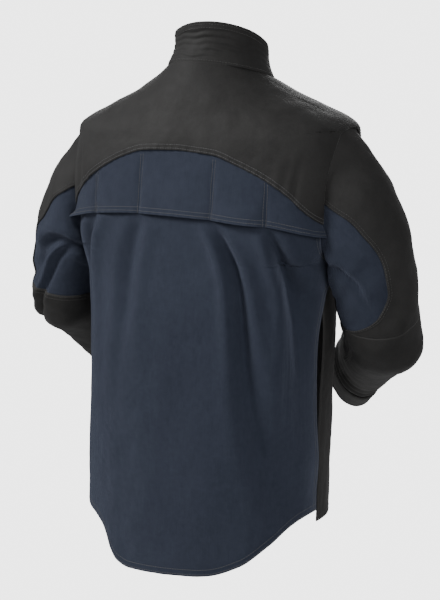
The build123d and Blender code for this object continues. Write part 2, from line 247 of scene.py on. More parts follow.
def by_x(curve):
    return lambda p: pchip(curve[:, 0], curve[:, 1], np.abs(p[..., 0]))


def hem_line(p):
    return pchip(TAIL_HEM[:, 0], TAIL_HEM[:, 1], p[..., 0])


def level(z):
    return lambda p: np.full(p.shape[:-1], float(z))


def neck_line(p):
    return NECK[0] + NECK[4] * p[..., 1]


# ---------------------------------------------------------------- meshes
MATERIALS = {}


def place(points):
    return (np.asarray(points, float).reshape(-1, 3) - ORIGIN) / 1000


def make_object(name, verts, faces, material, uvs=None, flat=False):
    mesh = bpy.data.meshes.new(name)
    mesh.from_pydata([tuple(v) for v in verts], [], faces)
    mesh.validate()
    if uvs is not None:
        layer = mesh.uv_layers.new(name="UVMap")
        loop_verts = np.zeros(len(mesh.loops), np.int32)
        mesh.loops.foreach_get("vertex_index", loop_verts)
        layer.data.foreach_set("uv", np.asarray(uvs, np.float32)[loop_verts].ravel())
    mesh.polygons.foreach_set("use_smooth", [not flat] * len(mesh.polygons))
    mesh.materials.append(MATERIALS[material])
    obj = bpy.data.objects.new(name, mesh)
    bpy.context.scene.collection.objects.link(obj)
    return obj


def cloth_object(name, grid, thickness, material, wrap=False, turn=False):
    """A grid as cloth of real thickness, with its inner face one thickness inside."""
    nv, nu = grid.p.shape[:2]
    outer = grid.p
    inner = grid.p - grid.n * thickness
    u, v = grid.lengths()
    if turn:
        u, v = v, u
    uvs = np.stack([u, v], -1).reshape(-1, 2)
    verts = np.concatenate([place(outer), place(inner)])
    uvs = np.concatenate([uvs, uvs + np.array([0.37, 0.21])])
    count = nv * nu
    faces = []
    across = nu if wrap else nu - 1
    index = lambda j, i: j * nu + (i % nu)
    for j in range(nv - 1):
        for i in range(across):
            a, b, c, d = index(j, i), index(j, i + 1), index(j + 1, i + 1), index(j + 1, i)
            faces.append((a, b, c, d))
            faces.append((a + count, d + count, c + count, b + count))
    for i in range(across):
        a, b = index(0, i), index(0, i + 1)
        faces.append((b, a, a + count, b + count))
        a, b = index(nv - 1, i), index(nv - 1, i + 1)
        faces.append((a, b, b + count, a + count))
    if not wrap:
        for j in range(nv - 1):
            a, b = index(j, 0), index(j + 1, 0)
            faces.append((a, b, b + count, a + count))
            a, b = index(j, nu - 1), index(j + 1, nu - 1)
            faces.append((b, a, a + count, b + count))
    first = np.cross(outer[0, 1] - outer[0, 0], outer[1, 0] - outer[0, 0])
    if np.dot(first, grid.n[0, 0]) < 0:
        faces = [tuple(reversed(f)) for f in faces]
    return make_object(name, verts, faces, material, uvs)


def resample(points, normals, step):
    gaps = np.linalg.norm(np.diff(points, axis=0), axis=1)
    reach = np.concatenate([[0], np.cumsum(gaps)])
    count = max(int(reach[-1] / step), 1)
    at = (np.arange(count) + 0.5) * reach[-1] / count
    p = np.stack([np.interp(at, reach, points[:, k]) for k in range(3)], -1)
    q = np.stack([np.interp(at + 0.5, reach, points[:, k]) for k in range(3)], -1)
    n = np.stack([np.interp(at, reach, normals[:, k]) for k in range(3)], -1)
    return p, unit_rows(q - p), unit_rows(n)


def unit_rows(v):
    return v / np.maximum(np.linalg.norm(v, axis=-1, keepdims=True), 1e-9)


STITCH = []
for station, width in ((-0.5, 0.25), (-0.3, 1.0), (0.3, 1.0), (0.5, 0.25)):
    for k in range(5):
        STITCH.append((station, width * cos(2 * pi * k / 5), width * sin(2 * pi * k / 5)))
STITCH_FACES = [(5 * s + k, 5 * s + (k + 1) % 5, 5 * s + 5 + (k + 1) % 5, 5 * s + 5 + k)
                for s in range(3) for k in range(5)]
STITCH_FACES += [(4, 3, 2, 1, 0), (15, 16, 17, 18, 19)]


def stitch_object(name, lines, material="thread", step=4.2, length=3.2, radius=0.42, lift=0.15):
    """Rows of separate stitches lying on the cloth."""
    shape = np.array(STITCH)
    verts, faces = [], []
    for points, normals in lines:
        if len(points) < 2:
            continue
        p, along, out = resample(points, normals, step)
        side = unit_rows(np.cross(out, along))
        for i in range(len(p)):
            base = sum(len(v) for v in verts[-1:]) and len(verts) * len(shape)
            block = (p[i] + out[i] * lift + np.outer(shape[:, 0] * length, along[i])
                     + np.outer(shape[:, 1] * radius, side[i]) + np.outer(shape[:, 2] * radius * 0.8, out[i]))
            verts.append(block)
            faces += [tuple(base + k for k in f) for f in STITCH_FACES]
    return make_object(name, place(np.concatenate(verts)), faces, material)


# ---------------------------------------------------------------- materials
def new_material(name):
    mat = bpy.data.materials.new(name)
    mat.use_nodes = True
    nodes = mat.node_tree.nodes
    nodes.clear()
    out = nodes.new("ShaderNodeOutputMaterial")
    shader = nodes.new("ShaderNodeBsdfPrincipled")
    mat.node_tree.links.new(shader.outputs[0], out.inputs[0])
    MATERIALS[name] = mat
    return mat, nodes, mat.node_tree.links, shader


def math_node(nodes, links, kind, a, b=None):
    node = nodes.new("ShaderNodeMath")
    node.operation = kind
    for socket, value in ((0, a), (1, b)):
        if value is None:
            continue
        if isinstance(value, (int, float)):
            node.inputs[socket].default_value = value
        else:
            links.new(value, node.inputs[socket])
    return node.outputs[0]


def noise_node(nodes, links, where, scale, detail=4.0, rough=0.55):
    node = nodes.new("ShaderNodeTexNoise")
    node.inputs["Scale"].default_value = scale
    node.inputs["Detail"].default_value = detail
    node.inputs["Roughness"].default_value = rough
    links.new(where, node.inputs["Vector"])
    return node.outputs["Fac"]


def ramp_node(nodes, links, value, stops):
    node = nodes.new("ShaderNodeValToRGB")
    ramp = node.color_ramp
    while len(ramp.elements) < len(stops):
        ramp.elements.new(0.5)
    for element, (at, colour) in zip(ramp.elements, stops):
        element.position = at
        element.color = (*colour, 1)
    links.new(value, node.inputs[0])
    return node.outputs[0]


def bump_node(nodes, links, height, strength, distance, before=None):
    node = nodes.new("ShaderNodeBump")
    node.inputs["Strength"].default_value = strength
    node.inputs["Distance"].default_value = distance
    links.new(height, node.inputs["Height"])
    if before is not None:
        links.new(before, node.inputs["Normal"])
    return node.outputs[0]


def mix_colour(nodes, links, share, a, b, kind="MIX"):
    node = nodes.new("ShaderNodeMix")
    node.data_type = "RGBA"
    node.blend_type = kind
    for socket, value in ((0, share), (6, a), (7, b)):
        if isinstance(value, (int, float)):
            node.inputs[socket].default_value = value
        elif isinstance(value, tuple):
            node.inputs[socket].default_value = (*value, 1)
        else:
            links.new(value, node.inputs[socket])
    return node.outputs[2]


def convex_edge_share(nodes, links, low, high):
    geometry = nodes.new("ShaderNodeNewGeometry")
    spread = nodes.new("ShaderNodeMapRange")
    spread.inputs["From Min"].default_value = low
    spread.inputs["From Max"].default_value = high
    links.new(geometry.outputs["Pointiness"], spread.inputs["Value"])
    return spread.outputs[0]


def leather_material(name, dark, light, rough):
    """Split leather: a fine pebbled grain, cloudy dye and paler convex edges and high spots, partly rubbed wear and
    partly a painted highlight.
    """
    mat, nodes, links, shader = new_material(name)
    place_node = nodes.new("ShaderNodeTexCoord").outputs["Object"]
    cloud = noise_node(nodes, links, place_node, 9.0, 5.0, 0.6)
    mottle = noise_node(nodes, links, place_node, 60.0, 4.0, 0.6)
    fleck = noise_node(nodes, links, place_node, 420.0, 3.0, 0.7)
    mixed = math_node(nodes, links, "ADD", math_node(nodes, links, "MULTIPLY", cloud, 0.5),
                      math_node(nodes, links, "MULTIPLY", mottle, 0.3))
    mixed = math_node(nodes, links, "ADD", mixed, math_node(nodes, links, "MULTIPLY", fleck, 0.2))
    colour = ramp_node(nodes, links, mixed, [(0.36, dark), (0.64, light)])
    # Paler colour on convex edges and ridges: partly rubbed wear, partly a painted highlight
    edge_share = convex_edge_share(nodes, links, 0.52, 0.62)
    colour = mix_colour(nodes, links, math_node(nodes, links, "MULTIPLY", edge_share, 0.35), colour,
                        tuple(min(c * 2.3, 1) for c in light))
    links.new(colour, shader.inputs["Base Color"])
    cells = nodes.new("ShaderNodeTexVoronoi")
    cells.feature = "DISTANCE_TO_EDGE"
    cells.inputs["Scale"].default_value = 620.0
    warp = nodes.new("ShaderNodeVectorMath")
    warp.operation = "ADD"
    shift = nodes.new("ShaderNodeTexNoise")
    shift.inputs["Scale"].default_value = 300.0
    links.new(place_node, shift.inputs["Vector"])
    scaled = nodes.new("ShaderNodeVectorMath")
    scaled.operation = "SCALE"
    scaled.inputs["Scale"].default_value = 0.0016
    links.new(shift.outputs["Color"], scaled.inputs[0])
    links.new(place_node, warp.inputs[0])
    links.new(scaled.outputs[0], warp.inputs[1])
    links.new(warp.outputs[0], cells.inputs["Vector"])
    grain = math_node(nodes, links, "MINIMUM", cells.outputs["Distance"], 0.28)
    normal = bump_node(nodes, links, mottle, 0.35, 0.0016)
    normal = bump_node(nodes, links, grain, 0.55, 0.0005, normal)
    normal = bump_node(nodes, links, fleck, 0.3, 0.0004, normal)
    links.new(normal, shader.inputs["Normal"])
    gloss = nodes.new("ShaderNodeMapRange")
    gloss.inputs["To Min"].default_value = rough - 0.1
    gloss.inputs["To Max"].default_value = rough + 0.14
    links.new(mottle, gloss.inputs["Value"])
    links.new(gloss.outputs[0], shader.inputs["Roughness"])
    shader.inputs["Sheen Weight"].default_value = 0.06
    shader.inputs["Sheen Roughness"].default_value = 0.45
    shader.inputs["Specular IOR Level"].default_value = 0.26


def cotton_material(name, dark, light, pitch=0.00075, twill=True):
    """Woven cotton: twill lines or plain weave in both directions, thread colour changes and a faded high side."""
    mat, nodes, links, shader = new_material(name)
    coords = nodes.new("ShaderNodeTexCoord")
    place_node, uv = coords.outputs["Object"], coords.outputs["UV"]
    split = nodes.new("ShaderNodeSeparateXYZ")
    links.new(uv, split.inputs[0])
    turn = 2 * pi / pitch
    if twill:
        along = math_node(nodes, links, "ADD", split.outputs[0], math_node(nodes, links, "MULTIPLY", split.outputs[1], 0.62))
        lines = math_node(nodes, links, "SINE", math_node(nodes, links, "MULTIPLY", along, turn))
        cross = math_node(nodes, links, "SINE", math_node(nodes, links, "MULTIPLY", split.outputs[1], turn * 1.7))
        weave = math_node(nodes, links, "ADD", math_node(nodes, links, "MULTIPLY", lines, 0.7),
                          math_node(nodes, links, "MULTIPLY", cross, 0.3))
    else:
        first = math_node(nodes, links, "SINE", math_node(nodes, links, "MULTIPLY", split.outputs[0], turn))
        second = math_node(nodes, links, "SINE", math_node(nodes, links, "MULTIPLY", split.outputs[1], turn))
        weave = math_node(nodes, links, "MULTIPLY", first, second)
    cloud = noise_node(nodes, links, place_node, 7.0, 5.0, 0.6)
    mottle = noise_node(nodes, links, place_node, 110.0, 4.0, 0.65)
    slub_map = nodes.new("ShaderNodeMapping")
    slub_map.inputs["Scale"].default_value = (900.0, 30.0, 1.0)
    links.new(uv, slub_map.inputs["Vector"])
    slub = noise_node(nodes, links, slub_map.outputs[0], 1.0, 2.0, 0.5)
    mixed = math_node(nodes, links, "ADD", math_node(nodes, links, "MULTIPLY", cloud, 0.42),
                      math_node(nodes, links, "MULTIPLY", mottle, 0.34))
    mixed = math_node(nodes, links, "ADD", mixed, math_node(nodes, links, "MULTIPLY", slub, 0.24))
    mixed = math_node(nodes, links, "ADD", mixed, math_node(nodes, links, "MULTIPLY", weave, 0.03))
    colour = ramp_node(nodes, links, mixed, [(0.36, dark), (0.66, light)])
    edge_share = convex_edge_share(nodes, links, 0.52, 0.64)
    colour = mix_colour(nodes, links, math_node(nodes, links, "MULTIPLY", edge_share, 0.4), colour,
                        tuple(min(c * 1.9, 1) for c in light))
    links.new(colour, shader.inputs["Base Color"])
    normal = bump_node(nodes, links, mottle, 0.2, 0.0012)
    normal = bump_node(nodes, links, slub, 0.2, 0.0004, normal)
    normal = bump_node(nodes, links, weave, 0.5, 0.00025, normal)
    links.new(normal, shader.inputs["Normal"])
    shader.inputs["Roughness"].default_value = 0.86
    shader.inputs["Sheen Weight"].default_value = 0.25
    shader.inputs["Sheen Roughness"].default_value = 0.4
    shader.inputs["Sheen Tint"].default_value = (0.55, 0.62, 0.85, 1)
    shader.inputs["Specular IOR Level"].default_value = 0.22


def thread_material(name, colour):
    mat, nodes, links, shader = new_material(name)
    place_node = nodes.new("ShaderNodeTexCoord").outputs["Object"]
    fleck = noise_node(nodes, links, place_node, 900.0, 2.0)
    tone = ramp_node(nodes, links, fleck, [(0.3, tuple(c * 0.7 for c in colour)), (0.7, tuple(c * 1.3 for c in colour))])
    links.new(tone, shader.inputs["Base Color"])
    links.new(bump_node(nodes, links, fleck, 0.4, 0.0002), shader.inputs["Normal"])
    shader.inputs["Roughness"].default_value = 0.6
    shader.inputs["Sheen Weight"].default_value = 0.2


def metal_material(name, dark, light):
    mat, nodes, links, shader = new_material(name)
    place_node = nodes.new("ShaderNodeTexCoord").outputs["Object"]
    cloud = noise_node(nodes, links, place_node, 260.0, 5.0, 0.65)
    scratch = noise_node(nodes, links, place_node, 1500.0, 2.0, 0.6)
    colour = ramp_node(nodes, links, cloud, [(0.35, dark), (0.7, light)])
    edge_share = convex_edge_share(nodes, links, 0.5, 0.6)
    colour = mix_colour(nodes, links, math_node(nodes, links, "MULTIPLY", edge_share, 0.6), colour, (0.62, 0.52, 0.36))
    links.new(colour, shader.inputs["Base Color"])
    gloss = nodes.new("ShaderNodeMapRange")
    gloss.inputs["To Min"].default_value = 0.26
    gloss.inputs["To Max"].default_value = 0.5
    links.new(cloud, gloss.inputs["Value"])
    links.new(gloss.outputs[0], shader.inputs["Roughness"])
    links.new(bump_node(nodes, links, scratch, 0.12, 0.0001), shader.inputs["Normal"])
    shader.inputs["Metallic"].default_value = 1.0


leather_material("leather", (0.0128, 0.0124, 0.0121), (0.0255, 0.0247, 0.0240), 0.66)
leather_material("leather_inside", (0.05, 0.042, 0.034), (0.11, 0.095, 0.08), 0.85)
cotton_material("navy", (0.0220, 0.0276, 0.0440), (0.0345, 0.0420, 0.0640))
cotton_material("lining", (0.018, 0.018, 0.021), (0.042, 0.042, 0.047), 0.0009, twill=False)
cotton_material("webbing", (0.012, 0.012, 0.012), (0.032, 0.032, 0.032), 0.0012, twill=False)
cotton_material("label", (0.42, 0.41, 0.38), (0.6, 0.59, 0.56), 0.0005, twill=False)
thread_material("thread", (0.075, 0.075, 0.08))
thread_material("thread_dark", (0.03, 0.029, 0.028))
metal_material("snap", (0.10, 0.085, 0.06), (0.26, 0.22, 0.15))


# ---------------------------------------------------------------- folds
def track(z, points):
    pts = np.array(sorted(points), float)
    return pchip(pts[:, 0], pts[:, 1], z)


# Each fold falls from a column of stitching: its path and depth as (height, x) and (height, depth), and its width
BACK_FOLDS = [
    ([(-650, -174), (-560, -148), (-470, -131), (-380, -119), (-300, -104), (-228, -64)],
     [(-690, 0), (-600, 7), (-480, 12), (-330, 17), (-262, 14), (-236, 3), (-226, 0)], 9.5),
    ([(-560, -192), (-460, -190), (-400, -187), (-330, -180), (-270, -166), (-232, -149)],
     [(-600, 0), (-480, 8), (-340, 17), (-275, 18), (-240, 4), (-232, 0)], 8.5),
    ([(-560, 92), (-470, 84), (-380, 80), (-300, 76), (-228, 64)],
     [(-560, 0), (-400, 4), (-300, 6.5), (-255, 6), (-228, 0)], 12.0),
    ([(-600, 170), (-460, 168), (-400, 170), (-330, 172), (-270, 168), (-232, 152)],
     [(-640, 0), (-480, 4), (-340, 9), (-275, 11), (-240, 3), (-232, 0)], 10.0),
    ([(-780, -40), (-700, -28), (-600, -22), (-520, -20)],
     [(-790, 3), (-700, 4), (-600, 2), (-520, 0)], 26.0),
    ([(-780, 60), (-700, 66), (-600, 76), (-520, 80)],
     [(-790, 3), (-700, 4), (-600, 3), (-500, 0)], 24.0),
]


def back_push(p):
    x, z = p[..., 0], p[..., 2]
    push = np.zeros(x.shape)
    for path, depths, width in BACK_FOLDS:
        centre = track(z, path)
        depth = track(z, depths)
        wide = width * (1 + 0.7 * smooth(-z, 300, 620))
        side = np.sign(centre + 1e-6)
        push -= depth * bump(x - centre, wide)
        push += 0.55 * depth * bump(x - centre + side * 2.1 * wide, wide * 1.15)
        push += 0.35 * depth * bump(x - centre - side * 2.0 * wide, wide * 1.1)
    quiet = smooth(200 - np.abs(x), -8, 26)
    push += (3.2 * noise_at(p * np.array([1, 1, 0.45]), 74.0, 3.1) + 1.1 * noise_at(p * np.array([1, 1, 0.6]), 27.0, 8.7)
             + 0.35 * noise_at(p, 9.0, 5.2)) * quiet * smooth(-z, 225, 300)
    return push


def yoke_push(p):
    x, y, z = p[..., 0], p[..., 1], p[..., 2]
    calm = smooth(np.sqrt(x ** 2 + (y - 5) ** 2), 84, 112)
    near_arm = 1 - smooth(np.abs(x), 178, 214) * smooth(-z, 105, 150)
    push = 2.2 * noise_at(p, 62.0, 1.7) + 1.0 * noise_at(p, 24.0, 6.1) + 0.3 * noise_at(p, 8.0, 2.2)
    for centre, width, depth in ((-184, 5.0, 4.2), (-171, 6.0, 3.0), (186, 6.0, 3.0), (172, 6.5, 2.2)):
        lean = centre + 0.16 * (z + 180) * np.sign(centre)
        push -= depth * bump(x - lean, width) * bump(z + 178, 34) * smooth(y, 20, 70)
        push += 0.6 * depth * bump(x - lean + np.sign(centre) * 11, width * 1.3) * bump(z + 170, 38) * smooth(y, 20, 70)
    return push * calm * near_arm


def front_push(p):
    x, z = p[..., 0], p[..., 2]
    ax = np.abs(x)
    quiet = smooth(ax, 40, 80) * (1 - smooth(ax, 186, 214) * smooth(z, -330, -290))
    push = (3.4 * noise_at(p * np.array([1, 1, 0.4]), 66.0, 11.3) + 1.4 * noise_at(p * np.array([1, 1, 0.55]), 26.0, 4.4)
            + 0.35 * noise_at(p, 9.0, 9.9))
    slant = x * 0.8 + np.sign(x) * (z + 300) * 0.55
    push += 2.6 * np.sin(slant / 17.0) * bump(z + 300, 95) * smooth(ax, 110, 170)
    return push * quiet * smooth(-z, 60, 120)


# ---------------------------------------------------------------- trunk panels
PIECES = {}


def add(name, obj, body, slot_name, *nodes):
    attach(obj, body)
    if nodes:
        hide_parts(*nodes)
    PIECES[name] = obj
    return obj


def back_turns(z):
    low = armhole_turn(z) if z > ARMHOLE_FOOT[1] else max(y_turn(z, SIDE_SEAM_Y), 0.0)
    if z <= ARMHOLE_FOOT[1]:
        low = low * float(smooth(ARMHOLE_FOOT[1] - z, 0, 30))
    return low, pi - low


def shoulder_turn(z):
    return -y_turn(z, SHOULDER_SEAM_Y)


def front_outer_turn(z):
    if z <= ARMHOLE_FOOT[1]:
        return -max(y_turn(z, SIDE_SEAM_Y), 0.0) * float(smooth(ARMHOLE_FOOT[1] - z, 0, 30))
    arm = armhole_turn(z)
    seam = shoulder_turn(z)
    return max(arm, seam) if z > -175 else arm


def front_turns(side):
    def turns(z):
        outer = front_outer_turn(z)
        if side > 0:
            return -pi / 2, -outer
        return -pi / 2, -pi + outer
    return turns


def shoulder_turns(side):
    def turns(z):
        seam, arm = shoulder_turn(z), armhole_turn(z)
        arm = min(arm, seam - 0.001)
        if side > 0:
            return -seam, -arm
        return -pi + seam, -pi + arm
    return turns


SHOULDER_FOOT = next(z for z in np.arange(-120.0, -200.0, -0.5) if armhole_turn(z) >= shoulder_turn(z) - 0.02)

back = trunk_sheet(back_turns, by_x(YOKE_ARCH), hem_line, 210, 220)
back_rest = back.copy()
back.push(back_push(back.p) + 1.2)
add("back_panel", cloth_object("back_panel_cloth", back, 1.5, "navy"), "jacket", "navy_cotton", "back_panel")

yoke = trunk_sheet(back_turns, neck_line, lambda p: by_x(YOKE_ARCH)(p) - 5.0, 190, 90)
lip = np.linspace(0, 1, 90)[:, None] if yoke.p[0, 0, 2] > yoke.p[-1, 0, 2] else np.linspace(1, 0, 90)[:, None]
pucker = 0.5 * np.sin(np.arange(190) * 1.35)[None, :] * smooth(lip, 0.93, 1.0)
yoke.push(yoke_push(yoke.p) + 2.0 + 4.2 * smooth(lip, 0.55, 0.97) + pucker)
add("yoke", cloth_object("yoke_leather", yoke, 2.0, "leather"), "jacket", "black_leather", "yoke")
for side, word in ((1, "left"), (-1, "right")):
    shoulder = trunk_sheet(shoulder_turns(side), neck_line, level(SHOULDER_FOOT), 34, 70)
    shoulder.push(2.0)
    add(word + "_shoulder_piece", cloth_object(word + "_shoulder_leather", shoulder, 2.0, "leather"), "jacket",
        "black_leather")
    front = trunk_sheet(front_turns(side), neck_line, level(-700.0), 110, 210)
    front.push(front_push(front.p) + 2.0)
    PIECES[word + "_front_grid"] = front
    add(word + "_front", cloth_object(word + "_front_leather", front, 2.0, "leather"), "jacket", "black_leather",
        word + "_front")


def through(rings, count):
    """A smooth tube of points through key rings, with even rows."""
    rings = np.array(rings)
    gaps = np.linalg.norm(np.diff(rings, axis=0), axis=-1).mean(1)
    reach = np.concatenate([[0], np.cumsum(gaps)])
    at = np.linspace(0, reach[-1], count)
    flat = rings.reshape(len(rings), -1)
    out = np.stack([pchip(reach, flat[:, k], at) for k in range(flat.shape[1])], -1)
    return out.reshape(count, *rings.shape[1:]), reach, at


# ---------------------------------------------------------------- vent flap and its stitching
flap = trunk_sheet(lambda z: (max(armhole_turn(z) - 0.03, 0.02), pi - max(armhole_turn(z) - 0.03, 0.02)),
                   lambda p: by_x(YOKE_ARCH)(p) + 2.0, by_x(FLAP_EDGE), 230, 70)
if flap.p[0, 0, 2] < flap.p[-1, 0, 2]:
    flap = Grid(flap.p[::-1])
fx, fz = flap.p[..., 0], flap.p[..., 2]
down = np.linspace(0, 1, 70)[:, None] * np.ones((1, 230))
gape = np.zeros(fx.shape)
edges = [-212.0, -148.0, -63.0, 63.0, 148.0, 212.0]
gapes = [9.0, 10.5, 7.0, 4.0, 9.0]
for low, high, tall in zip(edges, edges[1:], gapes):
    share = np.clip((fx - low) / (high - low), 0, 1)
    if low < -200:
        share = np.clip(0.5 + share / 2, 0, 1)
    if high > 200:
        share = np.clip(share / 2, 0, 1)
    inside = (fx >= low) & (fx < high)
    gape += np.where(inside, tall * np.sin(pi * share) ** 0.8, 0)
gape = gape * down ** 1.8
curl = 7.0 * smooth(fx, 178, 208) * smooth(down, 0.72, 1.0) + 3.0 * smooth(-fx, 186, 210) * smooth(down, 0.8, 1.0)
dimple = np.zeros(fx.shape)
for column in TACKS:
    for x in (-column, column):
        dimple -= 1.6 * bump(fx - x, 5.0) * smooth(down, 0.1, 0.3)
ripple = 1.5 * noise_at(flap.p, 40.0, 21.0) * (0.3 + 0.7 * down) + 0.5 * noise_at(flap.p, 15.0, 3.3)
hem_roll = 0.35 * np.sin(fx / 2.2) * smooth(down, 0.9, 1.0)
flap.push(3.9 + gape + curl + dimple + ripple + hem_roll)
flap_cloth = cloth_object("back_vent_flap_cloth", flap, 1.5, "navy")
add("back_vent_flap", flap_cloth, "jacket", "navy_cotton", "back_vent_flap")

lines = []
for inset in (-4.0, -9.5):
    lines.append(flap.line(0, inset))
for column in TACKS:
    for x in (-column, column):
        for shift in (-2.2, 2.2):
            points, normals = [], []
            for j in range(8, 70):
                i = int(np.argmin(np.abs(flap.p[j, :, 0] - x - shift)))
                share = (x + shift - flap.p[j, i, 0])
                points.append(flap.p[j, i] + np.array([share, 0, 0]))
                normals.append(flap.n[j, i])
            lines.append((np.array(points), np.array(normals)))
vent_stitch = stitch_object("vent_flap_stitching", lines)
add("vent_stitch", vent_stitch, "jacket", "navy_cotton", "back_vent_seam")


# ---------------------------------------------------------------- collar
def collar_grid(grow, rows=46, columns=200, start=0.0):
    turns = np.linspace(-pi / 2 + 0.055, 1.5 * pi - 0.055, columns)
    grid = np.zeros((rows, columns, 3))
    for j, share in enumerate(np.linspace(start, 1, rows)):
        height, middle, a, b, slope = [NECK[k] + (RIM[k] - NECK[k]) * share for k in range(5)]
        behind = smooth(np.sin(turns), -0.6, 0.1)
        waist = -(1.6 + 3.6 * behind) * max(sin(pi * share), 0) - 1.8 * behind * (1 - share) ** 6
        y = middle + (b + grow + waist) * np.sin(turns)
        grid[j, :, 0] = (a + grow + waist) * np.cos(turns)
        grid[j, :, 1] = y
        lean = 8.0 * np.clip(-grid[j, :, 0] / 70, -0.6, 1) * smooth(np.sin(turns), -0.9, -0.2)
        grid[j, :, 2] = height + slope * y + lean * share
    return Grid(grid, np.array([0, 3.0, 0]))


def collar_push(grid):
    share = np.linspace(0, 1, grid.p.shape[0])[:, None] * np.ones((1, grid.p.shape[1]))
    wander = 0.10 * noise_at(grid.p * np.array([1, 1, 0.3]), 34.0, 4.0)
    middle = 0.25 + 0.85 * bump(grid.p[..., 0] - 8, 46) * (grid.p[..., 1] > 0)
    creases = np.zeros(share.shape)
    for at, depth, width in ((0.14, 1.1, 0.035), (0.30, 1.8, 0.04), (0.47, 2.2, 0.05), (0.64, 1.6, 0.04), (0.80, 1.3, 0.035)):
        local = 0.55 + 0.75 * noise_at(grid.p, 46.0, at * 31)
        creases -= depth * middle * np.clip(local, 0, 1.3) * bump(share + wander - at, width)
        creases += 0.5 * depth * middle * np.clip(local, 0, 1.3) * bump(share + wander - at - 0.075, width * 1.2)
    return creases + 1.3 * noise_at(grid.p, 34.0, 9.0) + 0.35 * noise_at(grid.p, 10.0, 2.0)


collar = collar_grid(2.2)
collar_shape = collar_push(collar)
collar.push(collar_shape)
add("collar_outer", cloth_object("collar_leather", collar, 2.0, "leather"), "jacket", "black_leather", "collar_outer")
collar_in = collar_grid(-0.4, start=-0.12)
collar_in.push(collar_shape * 0.9)
add("collar_lining", cloth_object("collar_lining_cloth", collar_in, 1.2, "lining"), "jacket", "lining", "collar_lining")
roll_p = (collar.p[-1] + collar_in.p[-1]) / 2 - collar.n[-1] * 0.6
roll = []
for k in range(7):
    t = pi * k / 6
    lift = np.array([0, 0, 1.0])
    roll.append(roll_p + collar.n[-1] * (1.9 * cos(t)) + lift * (1.5 * sin(t) - 0.4))
rim_grid = Grid(np.array(roll), roll_p)
add("collar_rim", cloth_object("collar_rim_leather", rim_grid, 0.5, "leather"), "jacket", "black_leather")
collar_lines = [collar.line(0, 3.5), collar.line(0, -4.0), collar.line(0, -9.5)]
add("collar_stitch", stitch_object("collar_stitching", collar_lines, "thread_dark"), "jacket", "black_leather")


# ---------------------------------------------------------------- sleeves
SLEEVE_RINGS = [
    ((208.5, -329.0), (279.0, -166.0), 14.0, 73.0),
    ((211.5, -345.0), (317.0, -236.0), 11.0, 68.0),
    ((213.0, -351.0), (331.0, -292.0), 9.0, 64.0),
]
ARMS = {
    "left": ((282, 4, -390), (0.25, -0.05, -0.95), (266, -180, -548), 60.0, (57.0, 53.0)),
    "right": ((-278, -4, -402), (-0.2, -0.05, -0.95), (-135, -185, -528), 58.0, (56.0, 52.0)),
}
CUFF_DEPTH = 62.0
AROUND = 96
TURNS = np.linspace(0, 2 * pi, AROUND, endpoint=False)


def armhole_ring(side, inward, grow):
    """The armhole seam, or the same seam moved over the trunk, sampled evenly by angle about its middle."""
    points = []
    for z in np.arange(-318.0, -105.0, 0.5):
        x = armhole_x(z) - inward
        middle, a, b, n = trunk_ring(z)
        if x < a:
            reach = (b + grow) * (1 - (x / a) ** n) ** (1 / n)
            points += [(x, middle + reach, z), (x, middle - reach, z)]
    points = np.array(points)
    centre = np.array([(ARMHOLE_TOP[0] + ARMHOLE_FOOT[0]) / 2 - inward, 16.0, -214.0])
    over = unit([ARMHOLE_TOP[0] - ARMHOLE_FOOT[0], 0, ARMHOLE_TOP[1] - ARMHOLE_FOOT[1]])
    away = points - centre
    angle = np.arctan2(-away[:, 1], away @ over)
    radius = np.hypot(away[:, 1], away @ over)
    order = np.argsort(angle)
    angle, radius = angle[order], radius[order]
    at = (TURNS + pi) % (2 * pi) - pi
    r = np.interp(at, angle, radius, period=2 * pi)
    kernel = np.array([1, 2, 3, 2, 1]) / 9
    r = np.convolve(np.concatenate([r[-2:], r, r[:2]]), kernel, mode="valid")
    ring = centre + np.outer(r * np.cos(TURNS), over) + np.outer(r * np.sin(TURNS), [0, -1, 0])
    ring[:, 0] *= side
    return ring


def turned(v, start, end):
    axis = np.cross(start, end)
    return v * np.dot(start, end) + np.cross(axis, v) + axis * np.dot(axis, v) / (1 + np.dot(start, end))


def arm_facts(word):
    side = 1 if word == "left" else -1
    elbow, arrive, mouth, radius, fore = ARMS[word]
    elbow, mouth, arrive = np.array(elbow, float), np.array(mouth, float), unit(arrive)
    leave = unit(mouth - elbow)
    hinge = unit(np.cross(arrive, leave))
    first = np.array([side, 0, 0.3])
    first = unit(first - arrive * np.dot(first, arrive))
    second = np.array([0, -1.0, 0])
    second = unit(second - arrive * np.dot(second, arrive) - first * np.dot(second, first))
    return side, elbow, arrive, mouth, radius, fore, leave, hinge, first, second


def ring_about(middle, first, second, squash=None):
    offset = np.outer(np.cos(TURNS), first) + np.outer(np.sin(TURNS), second)
    if squash:
        axis, share = squash
        offset = offset - np.outer(offset @ axis, axis) * (1 - share)
    return middle + offset


